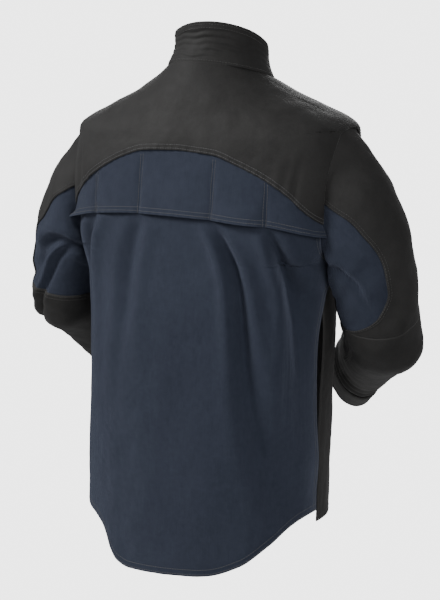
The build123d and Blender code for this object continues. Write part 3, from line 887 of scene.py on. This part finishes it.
def arm_tube(word):
    side, elbow, arrive, mouth, radius, fore, leave, hinge, first, second = arm_facts(word)
    mitre = unit(arrive + leave)
    rings = [armhole_ring(side, 7.5, 2.6), armhole_ring(side, 0.0, 2.6)]
    for (ix, iz), (ox, oz), middle_y, half_depth in SLEEVE_RINGS:
        half = np.array([side * (ox - ix) / 2, 0, (oz - iz) / 2])
        middle = np.array([side * (ox + ix) / 2, middle_y, (oz + iz) / 2])
        rings.append(ring_about(middle, half, np.array([0, -half_depth, 0])))
    around = ring_about(elbow, first * radius, second * radius)
    slide = ((elbow - around) @ mitre) / np.dot(arrive, mitre)
    rings.append(around + np.outer(slide, arrive))
    third, fourth = turned(first, arrive, leave), turned(second, arrive, leave)
    reach = np.linalg.norm(mouth - elbow)
    for share, r in zip((0.34, 0.62), fore):
        rings.append(ring_about(elbow + leave * reach * share, third * r, fourth * r, (hinge, 1 - 0.35 * share)))
    rings.append(ring_about(elbow + leave * (reach - CUFF_DEPTH + 10), third * 50, fourth * 50, (hinge, 0.68)))
    points, knots, at = through([raised(ring) for ring in rings], 300)
    centre = points.mean(1, keepdims=True)
    grid = Grid(np.concatenate([points, points[:, :1]], 1), np.concatenate([centre] * (AROUND + 1), 1))
    return grid, knots, at


def wrap_normals(grid):
    n = grid.n
    seam = unit_rows(n[:, 0] + n[:, -1])
    n[:, 0] = seam
    n[:, -1] = seam
    return grid


def patch(grid, s, t):
    """Part of a tube, at rows s and turns t given as fractions from 0 to 1."""
    rows, columns = grid.p.shape[0] - 1, grid.p.shape[1] - 1
    a = np.clip(s, 0, 1) * rows
    b = (t % 1.0) * columns
    j = np.clip(a.astype(int), 0, rows - 1)
    i = np.clip(b.astype(int), 0, columns - 1)
    fa, fb = (a - j)[..., None], (b - i)[..., None]
    def pick(field):
        return ((field[j, i] * (1 - fb) + field[j, i + 1] * fb) * (1 - fa)
                + (field[j + 1, i] * (1 - fb) + field[j + 1, i + 1] * fb) * fa)
    out = Grid(pick(grid.p), pick(grid.p) - pick(grid.n))
    out.n = unit_rows(pick(grid.n))
    return out


# The gusset behind each arm, in turns from the top of the arm towards the front: outer border, inner border
GUSSET_OUTER = {
    "left": [(0.0, 0.765), (0.15, 0.78), (0.38, 0.80), (0.55, 0.825), (0.77, 0.89), (0.89, 0.91), (1.0, 0.88)],
    "right": [(0.0, 0.765), (0.165, 0.775), (0.495, 0.82), (0.73, 0.862), (0.82, 0.862), (0.915, 0.81),
              (0.97, 0.72), (1.0, 0.64)],
}
GUSSET_END = {"left": 25.0, "right": 30.0}
GUSSET_INNER = [(0.0, 0.52), (0.3, 0.53), (0.7, 0.55), (1.0, 0.57)]


def sleeve_push(word, grid, knots, at):
    side, elbow, arrive, mouth, radius, fore, leave, hinge, first, second = arm_facts(word)
    rows, columns = grid.p.shape[:2]
    s = at[:, None] * np.ones((1, columns))
    turn = np.concatenate([TURNS, [2 * pi]])[None, :] * np.ones((rows, 1))
    bend = knots[5]
    inside = unit(leave - arrive)
    inner = np.clip(np.sum(grid.n * inside, -1), 0, 1)
    outer = np.clip(-np.sum(grid.n * inside, -1), 0, 1)
    rng = 3.0 if word == "left" else 7.0
    wander = 9.0 * noise_at(grid.p, 48.0, rng)
    away = s - bend
    push = -5.2 * inner ** 1.3 * np.cos(2 * pi * (away + wander) / 31.0) * bump(away, 52)
    push += 2.6 * outer ** 0.8 * np.sin(2 * pi * (away * 0.8 + wander + 14 * np.sin(turn)) / 44.0) * bump(away, 62)
    slope = away * 0.9 + 30 * np.sin(turn + 0.6) + wander
    push += 2.3 * np.sin(2 * pi * slope / 47.0) * bump(away + 75, 55) * (0.35 + 0.65 * (1 - outer))
    fore_share = s - (knots[-1] - 34)
    push += 2.0 * np.sin(2 * pi * (fore_share + wander * 1.2 + 10 * np.cos(turn * 2)) / 27.0) * bump(fore_share, 42)
    under = np.clip(-np.cos(turn), 0, 1)
    push -= 4.5 * under * bump(s - 46 - 0.25 * wander, 9) + 2.5 * under * bump(s - 70 + 0.3 * wander, 8)
    if word == "left":
        rear = np.clip(-np.sin(turn), 0, 1)
        push -= 12.0 * rear * bump(s - 130 - 75 * np.cos(turn) - 0.4 * wander, 12)
        push += 6.0 * rear * bump(s - 106 - 75 * np.cos(turn) - 0.4 * wander, 13)
        push -= 9.0 * rear * bump(s - 173 - 135 * np.cos(turn), 13)
        push += 4.5 * rear * bump(s - 147 - 135 * np.cos(turn), 14)
    else:
        rear = bump(turn / (2 * pi) - 0.68, 0.09)
        push -= 7.0 * rear * bump(s - 160 - 140 * np.cos(turn) - 0.3 * wander, 11)
        push += 4.5 * rear * bump(s - 134 - 140 * np.cos(turn) - 0.3 * wander, 14)
    to_trunk = np.clip(-side * grid.n[..., 0], 0, 1) * bump(s - 130, 90)
    push = push * (1 - 0.75 * to_trunk) + 2.5 * to_trunk
    push += 2.4 * noise_at(grid.p, 52.0, rng + 2) + 1.0 * noise_at(grid.p, 21.0, rng + 4) + 0.3 * noise_at(grid.p, 8.0, rng)
    return push * smooth(s, 14, 48) * (1 - 0.75 * smooth(s, knots[-1] - 16, knots[-1]))


def bent(name, obj, a, b, start, end, slot_name, *nodes):
    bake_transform(obj)
    if nodes:
        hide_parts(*nodes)
    PIECES[name] = obj


for word in ("left", "right"):
    side, elbow, arrive, mouth, radius, fore, leave, hinge, first, second = arm_facts(word)
    tube_grid, knots, at = arm_tube(word)
    tube_grid.push(sleeve_push(word, tube_grid, knots, at))
    wrap_normals(tube_grid)
    total = knots[-1]
    cut = (knots[5] - GUSSET_END[word]) / total
    head_a = np.array([side * 228.0, 16.0, -220.0])
    head_b = head_a + np.array([side * 56.0, 0, -22.0])
    outer_line = lambda s: pchip([k * cut for k, _ in GUSSET_OUTER[word]], [v for _, v in GUSSET_OUTER[word]], s)
    inner_line = lambda s: pchip([k * cut for k, _ in GUSSET_INNER], [v for _, v in GUSSET_INNER], s)
    rows, columns = 150, 110
    s = np.linspace(0, cut, rows)[:, None] * np.ones((1, columns))
    share = np.linspace(0, 1, columns)[None, :]
    low = inner_line(s[:, :1])
    high = outer_line(s[:, :1])
    upper = "left_upper_sleeve" if side > 0 else "right_upper_sleeve"
    gusset = patch(tube_grid, s, low + (high - low) * share)
    gusset.p = gusset.p - gusset.n * 1.2
    leather = patch(tube_grid, s, high + (1 + low - high) * share)
    edge_lift = 0.9 * (bump(share - 0, 0.02) + bump(share - 1, 0.02))
    leather.p = leather.p + leather.n * edge_lift[..., None]
    bent(word + "_gusset", cloth_object(word + "_sleeve_gusset_cloth", gusset, 1.5, "navy"), "jacket", upper,
         head_a, head_b, "navy_cotton", word + "_sleeve_gusset")
    bent(word + "_sleeve", cloth_object(word + "_sleeve_leather", leather, 2.0, "leather"), "jacket", upper,
         head_a, head_b, "black_leather", word + "_sleeve_outer")
    seams = [leather.line(0, 2.5), leather.line(0, 8.0), leather.line(1, 2.0), leather.line(1, -2.0),
             leather.line(1, 6.5), leather.line(1, -6.5), gusset.line(0, 2.5)]
    bent(word + "_sleeve_seams", stitch_object(word + "_sleeve_stitching", seams, "thread_dark"), "jacket", upper,
         head_a, head_b, "black_leather")

    rows, columns = 150, 170
    s = np.linspace(cut, 1, rows)[:, None] * np.ones((1, columns + 1))
    share = np.linspace(0, 1, columns + 1)[None, :] * np.ones((rows, 1))
    lower = patch(tube_grid, s, high[-1, 0] + share)
    lower.p[:, -1], lower.n[:, -1] = lower.p[:, 0], lower.n[:, 0]
    bend_a = elbow - unit(arrive + leave) * 10
    bend_b = elbow + unit(arrive + leave) * 62
    forearm_body = word + "_forearm"
    bent(word + "_forearm", cloth_object(word + "_forearm_leather", lower, 2.0, "leather"), upper, forearm_body,
         bend_a, bend_b, "black_leather", word + "_forearm")
    around = np.linspace(0, 1, columns + 1)
    beside = (around > 1 - (high[-1, 0] - low[-1, 0]) + 0.012) & (around < 0.988)
    fell = [lower.line(1, 0.5), lower.line(1, 4.0), lower.line(1, 7.5)]
    for inset in (2.5, 7.5):
        run, facing = lower.line(0, inset)
        fell.append((run[beside], facing[beside]))
    bent(word + "_forearm_seams", stitch_object(word + "_forearm_stitching", fell, "thread_dark"), upper, forearm_body,
         bend_a, bend_b, "black_leather")

    reach = np.linalg.norm(mouth - elbow)
    third, fourth = turned(first, arrive, leave), turned(second, arrive, leave)
    cuff_rings = []
    for distance, r in ((reach - CUFF_DEPTH, 53.0), (reach - CUFF_DEPTH * 0.5, 52.6), (reach - 6, 51.2), (reach, 50.6)):
        cuff_rings.append(ring_about(elbow + leave * distance, third * r, fourth * r, (hinge, 0.68)))
    points, _, _ = through(cuff_rings, 36)
    centre = points.mean(1, keepdims=True)
    cuff = Grid(np.concatenate([points, points[:, :1]], 1), np.concatenate([centre] * (AROUND + 1), 1))
    cuff.push(0.9 * noise_at(cuff.p, 30.0, 12.0) + 0.3 * noise_at(cuff.p, 9.0, 2.0))
    wrap_normals(cuff)
    add(word + "_cuff", cloth_object(word + "_cuff_leather", cuff, 3.0, "leather"), forearm_body, "black_leather",
        word + "_cuff")
    rows_of_cuff = [cuff.line(0, 3.0), cuff.line(0, 8.0), cuff.line(0, -3.5), cuff.line(0, -9.0)]
    add(word + "_cuff_stitch", stitch_object(word + "_cuff_stitching", rows_of_cuff, "thread_dark"), forearm_body,
        "black_leather")


# ---------------------------------------------------------------- inside of the trunk
def inner_sheet(name, turns, top, bottom, depth, thickness, material, nu, nv, push=None, only=None):
    grid = trunk_sheet(turns, top, bottom, nu, nv)
    if only is not None:
        grid = only(grid)
    if push is not None:
        grid.push(push(grid.p))
    grid.push(-depth)
    return cloth_object(name, grid, thickness, material), grid


lining_cloth, _ = inner_sheet("yoke_lining_cloth", back_turns, lambda p: neck_line(p) - 1.0,
                              lambda p: by_x(YOKE_ARCH)(p) + 1.0, 0.6, 1.2, "lining", 120, 60, yoke_push)
add("yoke_lining", lining_cloth, "jacket", "lining", "yoke_lining")


def band_of_turns(side, near, far):
    """Turns that cut the front between two distances from the centre line."""
    def turns(z):
        middle, a, b, n = trunk_ring(z)
        ends = []
        for x in (near, far):
            ends.append(float(acos(np.clip((x / a), 0, 1) ** (n / 2))))
        if side > 0:
            return -ends[0], -ends[1]
        return -pi + ends[0], -pi + ends[1]
    return turns


for side, word in ((1, "left"), (-1, "right")):
    facing, _ = inner_sheet(word + "_facing_cloth", band_of_turns(side, 0.5, 58), level(-150.0), level(-692.0), 0.6, 1.6,
                            "leather_inside", 26, 120, front_push)
    add(word + "_facing", facing, "jacket", "black_leather", word + "_facing")
pocket_cloth, pocket_in = inner_sheet("inside_pocket_cloth", band_of_turns(1, 68, 158), level(-342.0), level(-498.0),
                                      0.7, 1.2, "lining", 50, 70, front_push)
add("inside_pocket", pocket_cloth, "jacket", "lining", "inside_pocket")

patch_pocket = trunk_sheet(band_of_turns(1, 69, 157), level(-252.0), level(-390.0), 70, 90)
share_u = np.linspace(0, 1, 70)[None, :] * np.ones((90, 1))
share_v = np.linspace(0, 1, 90)[:, None] * np.ones((1, 70))
if patch_pocket.p[0, 0, 2] < patch_pocket.p[-1, 0, 2]:
    share_v = 1 - share_v
belly = np.sin(pi * share_u) ** 0.7 * np.sin(pi * np.clip(share_v, 0.02, 0.98)) ** 0.6
patch_pocket.push(front_push(patch_pocket.p) + 2.6 + 1.7 * belly + 0.3 * noise_at(patch_pocket.p, 12.0, 8.0))
add("chest_pocket", cloth_object("chest_pocket_leather", patch_pocket, 1.8, "leather"), "jacket", "black_leather",
    "chest_pocket")
pocket_flap = trunk_sheet(band_of_turns(1, 66, 160), level(-240.0), level(-296.0), 90, 44)
if pocket_flap.p[0, 0, 2] < pocket_flap.p[-1, 0, 2]:
    pocket_flap = Grid(pocket_flap.p[::-1])
rows_down = np.linspace(0, 1, 44)[:, None] * np.ones((1, 90))
across = np.linspace(-1, 1, 90)[None, :] * np.ones((44, 1))
corner = 11.0 * np.clip((np.abs(across) - 0.74) / 0.26, 0, 1) ** 1.4
pocket_flap.p[..., 2] += corner * rows_down ** 2
near_snap = bump(np.hypot(pocket_flap.p[..., 0] - 113, pocket_flap.p[..., 2] + 284), 10)
pocket_flap.push(7.4 + 3.2 * smooth(rows_down, 0, 0.35) + 0.5 * noise_at(pocket_flap.p, 20.0, 1.0) * (1 - near_snap)
                 + 2.0 * near_snap)
flap_top = pocket_flap.p[0].copy()
add("pocket_flap", cloth_object("pocket_flap_leather", pocket_flap, 2.2 + 3.2 * near_snap[..., None], "leather"), "pocket_flap", "black_leather",
    "pocket_flap")
add("pocket_flap_stitch", stitch_object("pocket_flap_stitching", [pocket_flap.line(0, -3.5), pocket_flap.line(1, 3.5),
    pocket_flap.line(1, -3.5), pocket_flap.line(0, 4.0), pocket_flap.line(0, 9.0)], "thread_dark"), "pocket_flap",
    "black_leather")
band_rows = []
for k, share in enumerate(np.linspace(0, 1, 8)):
    row = flap_top + np.array([0, 0, 1.0]) * (6.0 * sin(pi * share / 1.0) * 0.35 + 2.0 * share)
    inward = -pocket_flap.n[0] * (7.0 * share)
    band_rows.append(row + inward + np.array([0, 0, 3.0]) * share)
add("pocket_flap_band", cloth_object("pocket_flap_band_leather", Grid(np.array(band_rows)), 1.2, "leather"), "jacket",
    "black_leather")
pocket_lines = [patch_pocket.line(1, 3.0), patch_pocket.line(1, -3.0), patch_pocket.line(0, 3.0),
                patch_pocket.line(0, -3.0), patch_pocket.line(1, 8.0), patch_pocket.line(1, -8.0)]
add("chest_pocket_stitch", stitch_object("chest_pocket_stitching", pocket_lines, "thread_dark"), "jacket",
    "black_leather")


# ---------------------------------------------------------------- storm flap
def board(corner, u, v, nu, nv, push=None):
    """A flat net from a corner and two edge vectors."""
    a = np.linspace(0, 1, nu)[None, :, None]
    b = np.linspace(0, 1, nv)[:, None, None]
    p = np.asarray(corner, float) + a * np.asarray(u, float) + b * np.asarray(v, float)
    return p


STORM_BACK_Y = -109.0
storm_p = board((27, STORM_BACK_Y - 2.0, -100), (-65, 0, 0), (0, 0, -590), 34, 240)
storm = Grid(storm_p, np.array([0, 0, -395.0]))
storm_share = np.linspace(0, 1, 34)[None, :] * np.ones((240, 1))
snap_wave = np.cos((storm.p[..., 2] + 128.0) / 104.0 * 2 * pi)
storm.push((1.3 * (1 - snap_wave) * smooth(storm_share, 0.5, 1.0) + 0.6 * noise_at(storm.p, 30.0, 5.0)
            + 0.25 * noise_at(storm.p, 9.0, 1.0)) * smooth(storm_share, 0.02, 0.2)
           * (1 - 0.9 * bump(storm.p[..., 0] + 19, 9) * (snap_wave > 0.8)))
add("storm_flap", cloth_object("storm_flap_leather", storm, 2.0, "leather"), "storm_flap", "black_leather", "storm_flap")
add("storm_stitch", stitch_object("storm_flap_stitching", [storm.line(1, 3.5), storm.line(1, 9.0), storm.line(1, -3.0),
    storm.line(1, -8.0), storm.line(0, 3.0), storm.line(0, -3.0)], "thread_dark"), "storm_flap", "black_leather")
hinge_rows = []
for k in range(9):
    t = k / 8
    hinge_rows.append(board((27 + 7 * sin(pi * t) * 0.5 + 5.0 * t, STORM_BACK_Y - 1.6 + 8.2 * t, -100), (0, 0, -590),
                            (0, 0, 0), 200, 1)[0])
add("storm_hinge", cloth_object("storm_flap_fold_leather", Grid(np.array(hinge_rows), np.array([0, -60.0, -395])), 1.4,
    "leather"), "jacket", "black_leather")


# ---------------------------------------------------------------- collar tab, cuff tabs, hang loop, label
tab = collar_grid(7.3, 60, 700)
near = (np.abs(tab.p[..., 1].mean(0) + 70) < 14) & (tab.p[0, :, 1] < 0)
tab_rows = []
for z in np.linspace(-34, -10, 22):
    row = []
    for x in np.linspace(26, -34, 50):
        columns = np.where(tab.p[0, :, 1] < 0)[0]
        best = columns[np.argmin(np.abs(tab.p[30, columns, 0] - x))]
        y = np.interp(z, tab.p[:, best, 2], tab.p[:, best, 1])
        row.append((x, y, z))
    tab_rows.append(row)
tab_rows = np.array(tab_rows)
kernel = np.ones(7) / 7
for j in range(len(tab_rows)):
    y = np.pad(tab_rows[j, :, 1], 3, mode="edge")
    tab_rows[j, :, 1] = np.convolve(y, kernel, mode="valid")
t_across = np.linspace(-1, 1, 22)[:, None] * np.ones((1, 50))
point_end = np.clip((-26 - tab_rows[..., 0]) / 8, 0, 1)
tab_rows[..., 2] = -22 + (tab_rows[..., 2] + 22) * (1 - 0.35 * point_end ** 2)
tab_grid = Grid(tab_rows, np.array([0, 0, -22.0]))
near_stud = bump(np.hypot(tab_grid.p[..., 0] + 22, tab_grid.p[..., 2] + 22), 9)
tab_grid.push(2.0 + 0.4 * noise_at(tab_grid.p, 14.0, 2.0) * (1 - near_stud) + 1.7 * near_stud)
add("collar_tab", cloth_object("collar_tab_leather", tab_grid, 2.2 + 3.2 * near_stud[..., None], "leather"), "collar_tab", "black_leather",
    "collar_tab")
add("collar_tab_stitch", stitch_object("collar_tab_stitching", [tab_grid.line(0, 2.5), tab_grid.line(0, -2.5),
    tab_grid.line(1, 2.5), tab_grid.line(1, -2.5)], "thread_dark"), "collar_tab", "black_leather")

for word in ("left", "right"):
    side, elbow, arrive, mouth, radius, fore, leave, hinge, first, second = arm_facts(word)
    reach = np.linalg.norm(mouth - elbow)
    outside = unit(arrive - leave)
    outside = unit(outside - leave * np.dot(outside, leave))
    out = hinge * -side
    seat = elbow + leave * (reach - CUFF_DEPTH / 2) + out * 37.4
    corner = seat + out * 8.0 + outside * 31 - leave * 12
    p = board(corner, -outside * 62, leave * 24, 50, 22)
    strap = Grid(p, np.broadcast_to(seat - out * 30, p.shape))
    u_share = np.linspace(0, 1, 50)[None, :] * np.ones((22, 1))
    v_share = np.linspace(-1, 1, 22)[:, None] * np.ones((1, 50))
    narrow = 1 - 0.4 * np.clip((u_share - 0.86) / 0.14, 0, 1) ** 2
    middle_line = p[11:12] * 0.5 + p[10:11] * 0.5
    strap.p = middle_line + (strap.p - middle_line) * narrow[..., None]
    strap.push(0.5 * noise_at(strap.p, 14.0, 6.0) * (1 - bump(u_share - 0.823, 0.16)))
    along = 31 - 62 * u_share
    strap.p = strap.p - out * (11.0 * smooth(along, 6, 31) + 3.5 * smooth(-along, 23, 31))[..., None]
    add(word + "_cuff_tab", cloth_object(word + "_cuff_tab_leather", strap, 2.0, "leather"), word + "_cuff_tab",
        "black_leather", word + "_cuff_tab")
    add(word + "_cuff_tab_stitch", stitch_object(word + "_cuff_tab_stitching", [strap.line(0, 2.5), strap.line(0, -2.5),
        strap.line(1, 2.5), strap.line(1, -2.5)], "thread_dark"), word + "_cuff_tab", "black_leather")
    anchor = []
    for w in np.linspace(25, 41, 14):
        anchor.append(seat + outside * w - out * (37.4 - 37.4 * sqrt(1 - (w / 53.5) ** 2) + 0.6) - leave * 13)
    anchor = np.array(anchor)[:, None, :] + np.linspace(0, 26, 24)[None, :, None] * leave
    add(word + "_cuff_tab_root", cloth_object(word + "_cuff_tab_root_leather",
        Grid(anchor, np.broadcast_to(seat, anchor.shape)), 1.6, "leather"), word + "_forearm", "black_leather")

loop_rows = []
for z in np.linspace(-4, 4, 12):
    row = []
    for t in np.linspace(0.04, pi - 0.04, 60):
        row.append((-31.4 * cos(t), NAPE_Y + 13.0 - 12.4 * sin(t) ** 0.8, z + 0.5 * sin(3 * t)))
    loop_rows.append(row)
loop = Grid(np.array(loop_rows), np.array([0, NAPE_Y + 13, 0.0]))
add("hang_loop", cloth_object("hang_loop_webbing", loop, 1.2, "webbing"), "jacket", "webbing", "hang_loop")

label = trunk_sheet(lambda z: (pi / 2 - 0.30, pi / 2 + 0.30), level(-30.0), level(-62.0), 40, 26)
label.push(-2.0)
add("neck_label", cloth_object("neck_label_cloth", label, 0.8, "label"), "jacket", "label", "neck_label")
add("neck_label_stitch", stitch_object("neck_label_stitching", [(q, -m) for q, m in (
    (label.line(0, 1.5)[0] - label.line(0, 1.5)[1] * 0.9, label.line(0, 1.5)[1]),
    (label.line(0, -1.5)[0] - label.line(0, -1.5)[1] * 0.9, label.line(0, -1.5)[1]))]), "jacket", "label")


# ---------------------------------------------------------------- seams of the trunk
yoke_foot = -1 if yoke.p[0, 0, 2] > yoke.p[-1, 0, 2] else 1
yoke_lines = [yoke.line(0, 2.6 * yoke_foot), yoke.line(0, 8.2 * yoke_foot)]
add("yoke_stitch", stitch_object("yoke_stitching", yoke_lines, "thread"), "jacket", "black_leather")
back_foot = -1 if back.p[0, 0, 2] > back.p[-1, 0, 2] else 1
back_lines = [back.line(0, 3.0 * back_foot), back.line(0, 10.5 * back_foot)]
back_lines += [back.line(1, 3.5), back.line(1, -3.5), back.line(1, 9.5), back.line(1, -9.5)]
add("back_stitch", stitch_object("back_stitching", back_lines, "thread"), "jacket", "navy_cotton")
front_lines = []
for word in ("left", "right"):
    g = PIECES[word + "_front_grid"]
    foot = -1 if g.p[0, 0, 2] > g.p[-1, 0, 2] else 1
    front_lines += [g.line(0, 3.0 * foot), g.line(0, 9.0 * foot), g.line(1, 3.0)]
    front_lines += [g.line(1, -3.0)]
add("front_stitch", stitch_object("front_stitching", front_lines, "thread_dark"), "jacket", "black_leather")


# ---------------------------------------------------------------- stage, light and camera
def area_light(name, where, aim, size, power, colour=(1, 1, 1)):
    data = bpy.data.lights.new(name, "AREA")
    data.shape = "RECTANGLE"
    data.size, data.size_y = size
    data.energy = power
    data.color = colour
    lamp = bpy.data.objects.new(name, data)
    lamp.location = where
    lamp.rotation_euler = (Vector(aim) - Vector(where)).to_track_quat("-Z", "Y").to_euler()
    bpy.context.scene.collection.objects.link(lamp)


AZIMUTH, ELEVATION, DISTANCE = radians(210), radians(12), 3.3
AIM = Vector((0.0, -0.023, -0.4))
TOWARDS = Vector((sin(AZIMUTH) * cos(ELEVATION), -cos(AZIMUTH) * cos(ELEVATION), sin(ELEVATION)))
RIGHT = Vector((cos(AZIMUTH), sin(AZIMUTH), 0))
UP = TOWARDS.cross(RIGHT)
UP = UP if UP.z > 0 else -UP
SHIFT_RIGHT, SHIFT_UP = 0.0164, 0.0268
AIM = AIM + RIGHT * SHIFT_RIGHT + UP * SHIFT_UP
camera_data = bpy.data.cameras.new("camera")
camera_data.sensor_fit = "VERTICAL"
camera_data.sensor_height = 24.0
camera_data.lens = 84.6
camera = bpy.data.objects.new("camera", camera_data)
camera.location = AIM + TOWARDS * DISTANCE
camera.rotation_euler = (-TOWARDS).to_track_quat("-Z", "Y").to_euler()
bpy.context.scene.collection.objects.link(camera)
bpy.context.scene.camera = camera

floor_mesh = bpy.data.meshes.new("floor")
floor_ring = [(0.6 * cos(k * pi / 48), 0.6 * sin(k * pi / 48), 0) for k in range(96)]
floor_mesh.from_pydata(floor_ring, [], [tuple(range(96))])
floor = bpy.data.objects.new("floor", floor_mesh)
floor.location = (0, 0, -1.12)
bpy.context.scene.collection.objects.link(floor)
mat, nodes, links, shader = new_material("floor_paint")
shader.inputs["Base Color"].default_value = (0.84, 0.84, 0.84, 1)
shader.inputs["Roughness"].default_value = 0.95
floor_mesh.materials.append(mat)

world = bpy.data.worlds.new("studio")
bpy.context.scene.world = world
world.use_nodes = True
sky, sky_links = world.node_tree.nodes, world.node_tree.links
sky["Background"].inputs[0].default_value = (0.86, 0.86, 0.87, 1)
sky["Background"].inputs[1].default_value = 0.34
bright = sky.new("ShaderNodeBackground")
bright.inputs[0].default_value = (0.86, 0.86, 0.86, 1)
bright.inputs[1].default_value = 4.3
seen = sky.new("ShaderNodeLightPath")
mixed_sky = sky.new("ShaderNodeMixShader")
sky_links.new(seen.outputs["Is Camera Ray"], mixed_sky.inputs[0])
sky_links.new(sky["Background"].outputs[0], mixed_sky.inputs[1])
sky_links.new(bright.outputs[0], mixed_sky.inputs[2])
sky_links.new(mixed_sky.outputs[0], sky["World Output"].inputs[0])
area_light("key", (2.3, 1.9, 1.7), (0, 0, -0.35), (1.1, 1.1), 118)
area_light("fill", (-2.6, 2.4, 0.9), (0, 0, -0.4), (1.5, 1.5), 60)
area_light("front", (1.4, -3.0, 0.1), (0, 0, -0.4), (2.0, 2.0), 85)

for name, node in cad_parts.items():
    if not node.hide_render:
        node.data.materials.clear()
        node.data.materials.append(MATERIALS["snap"])
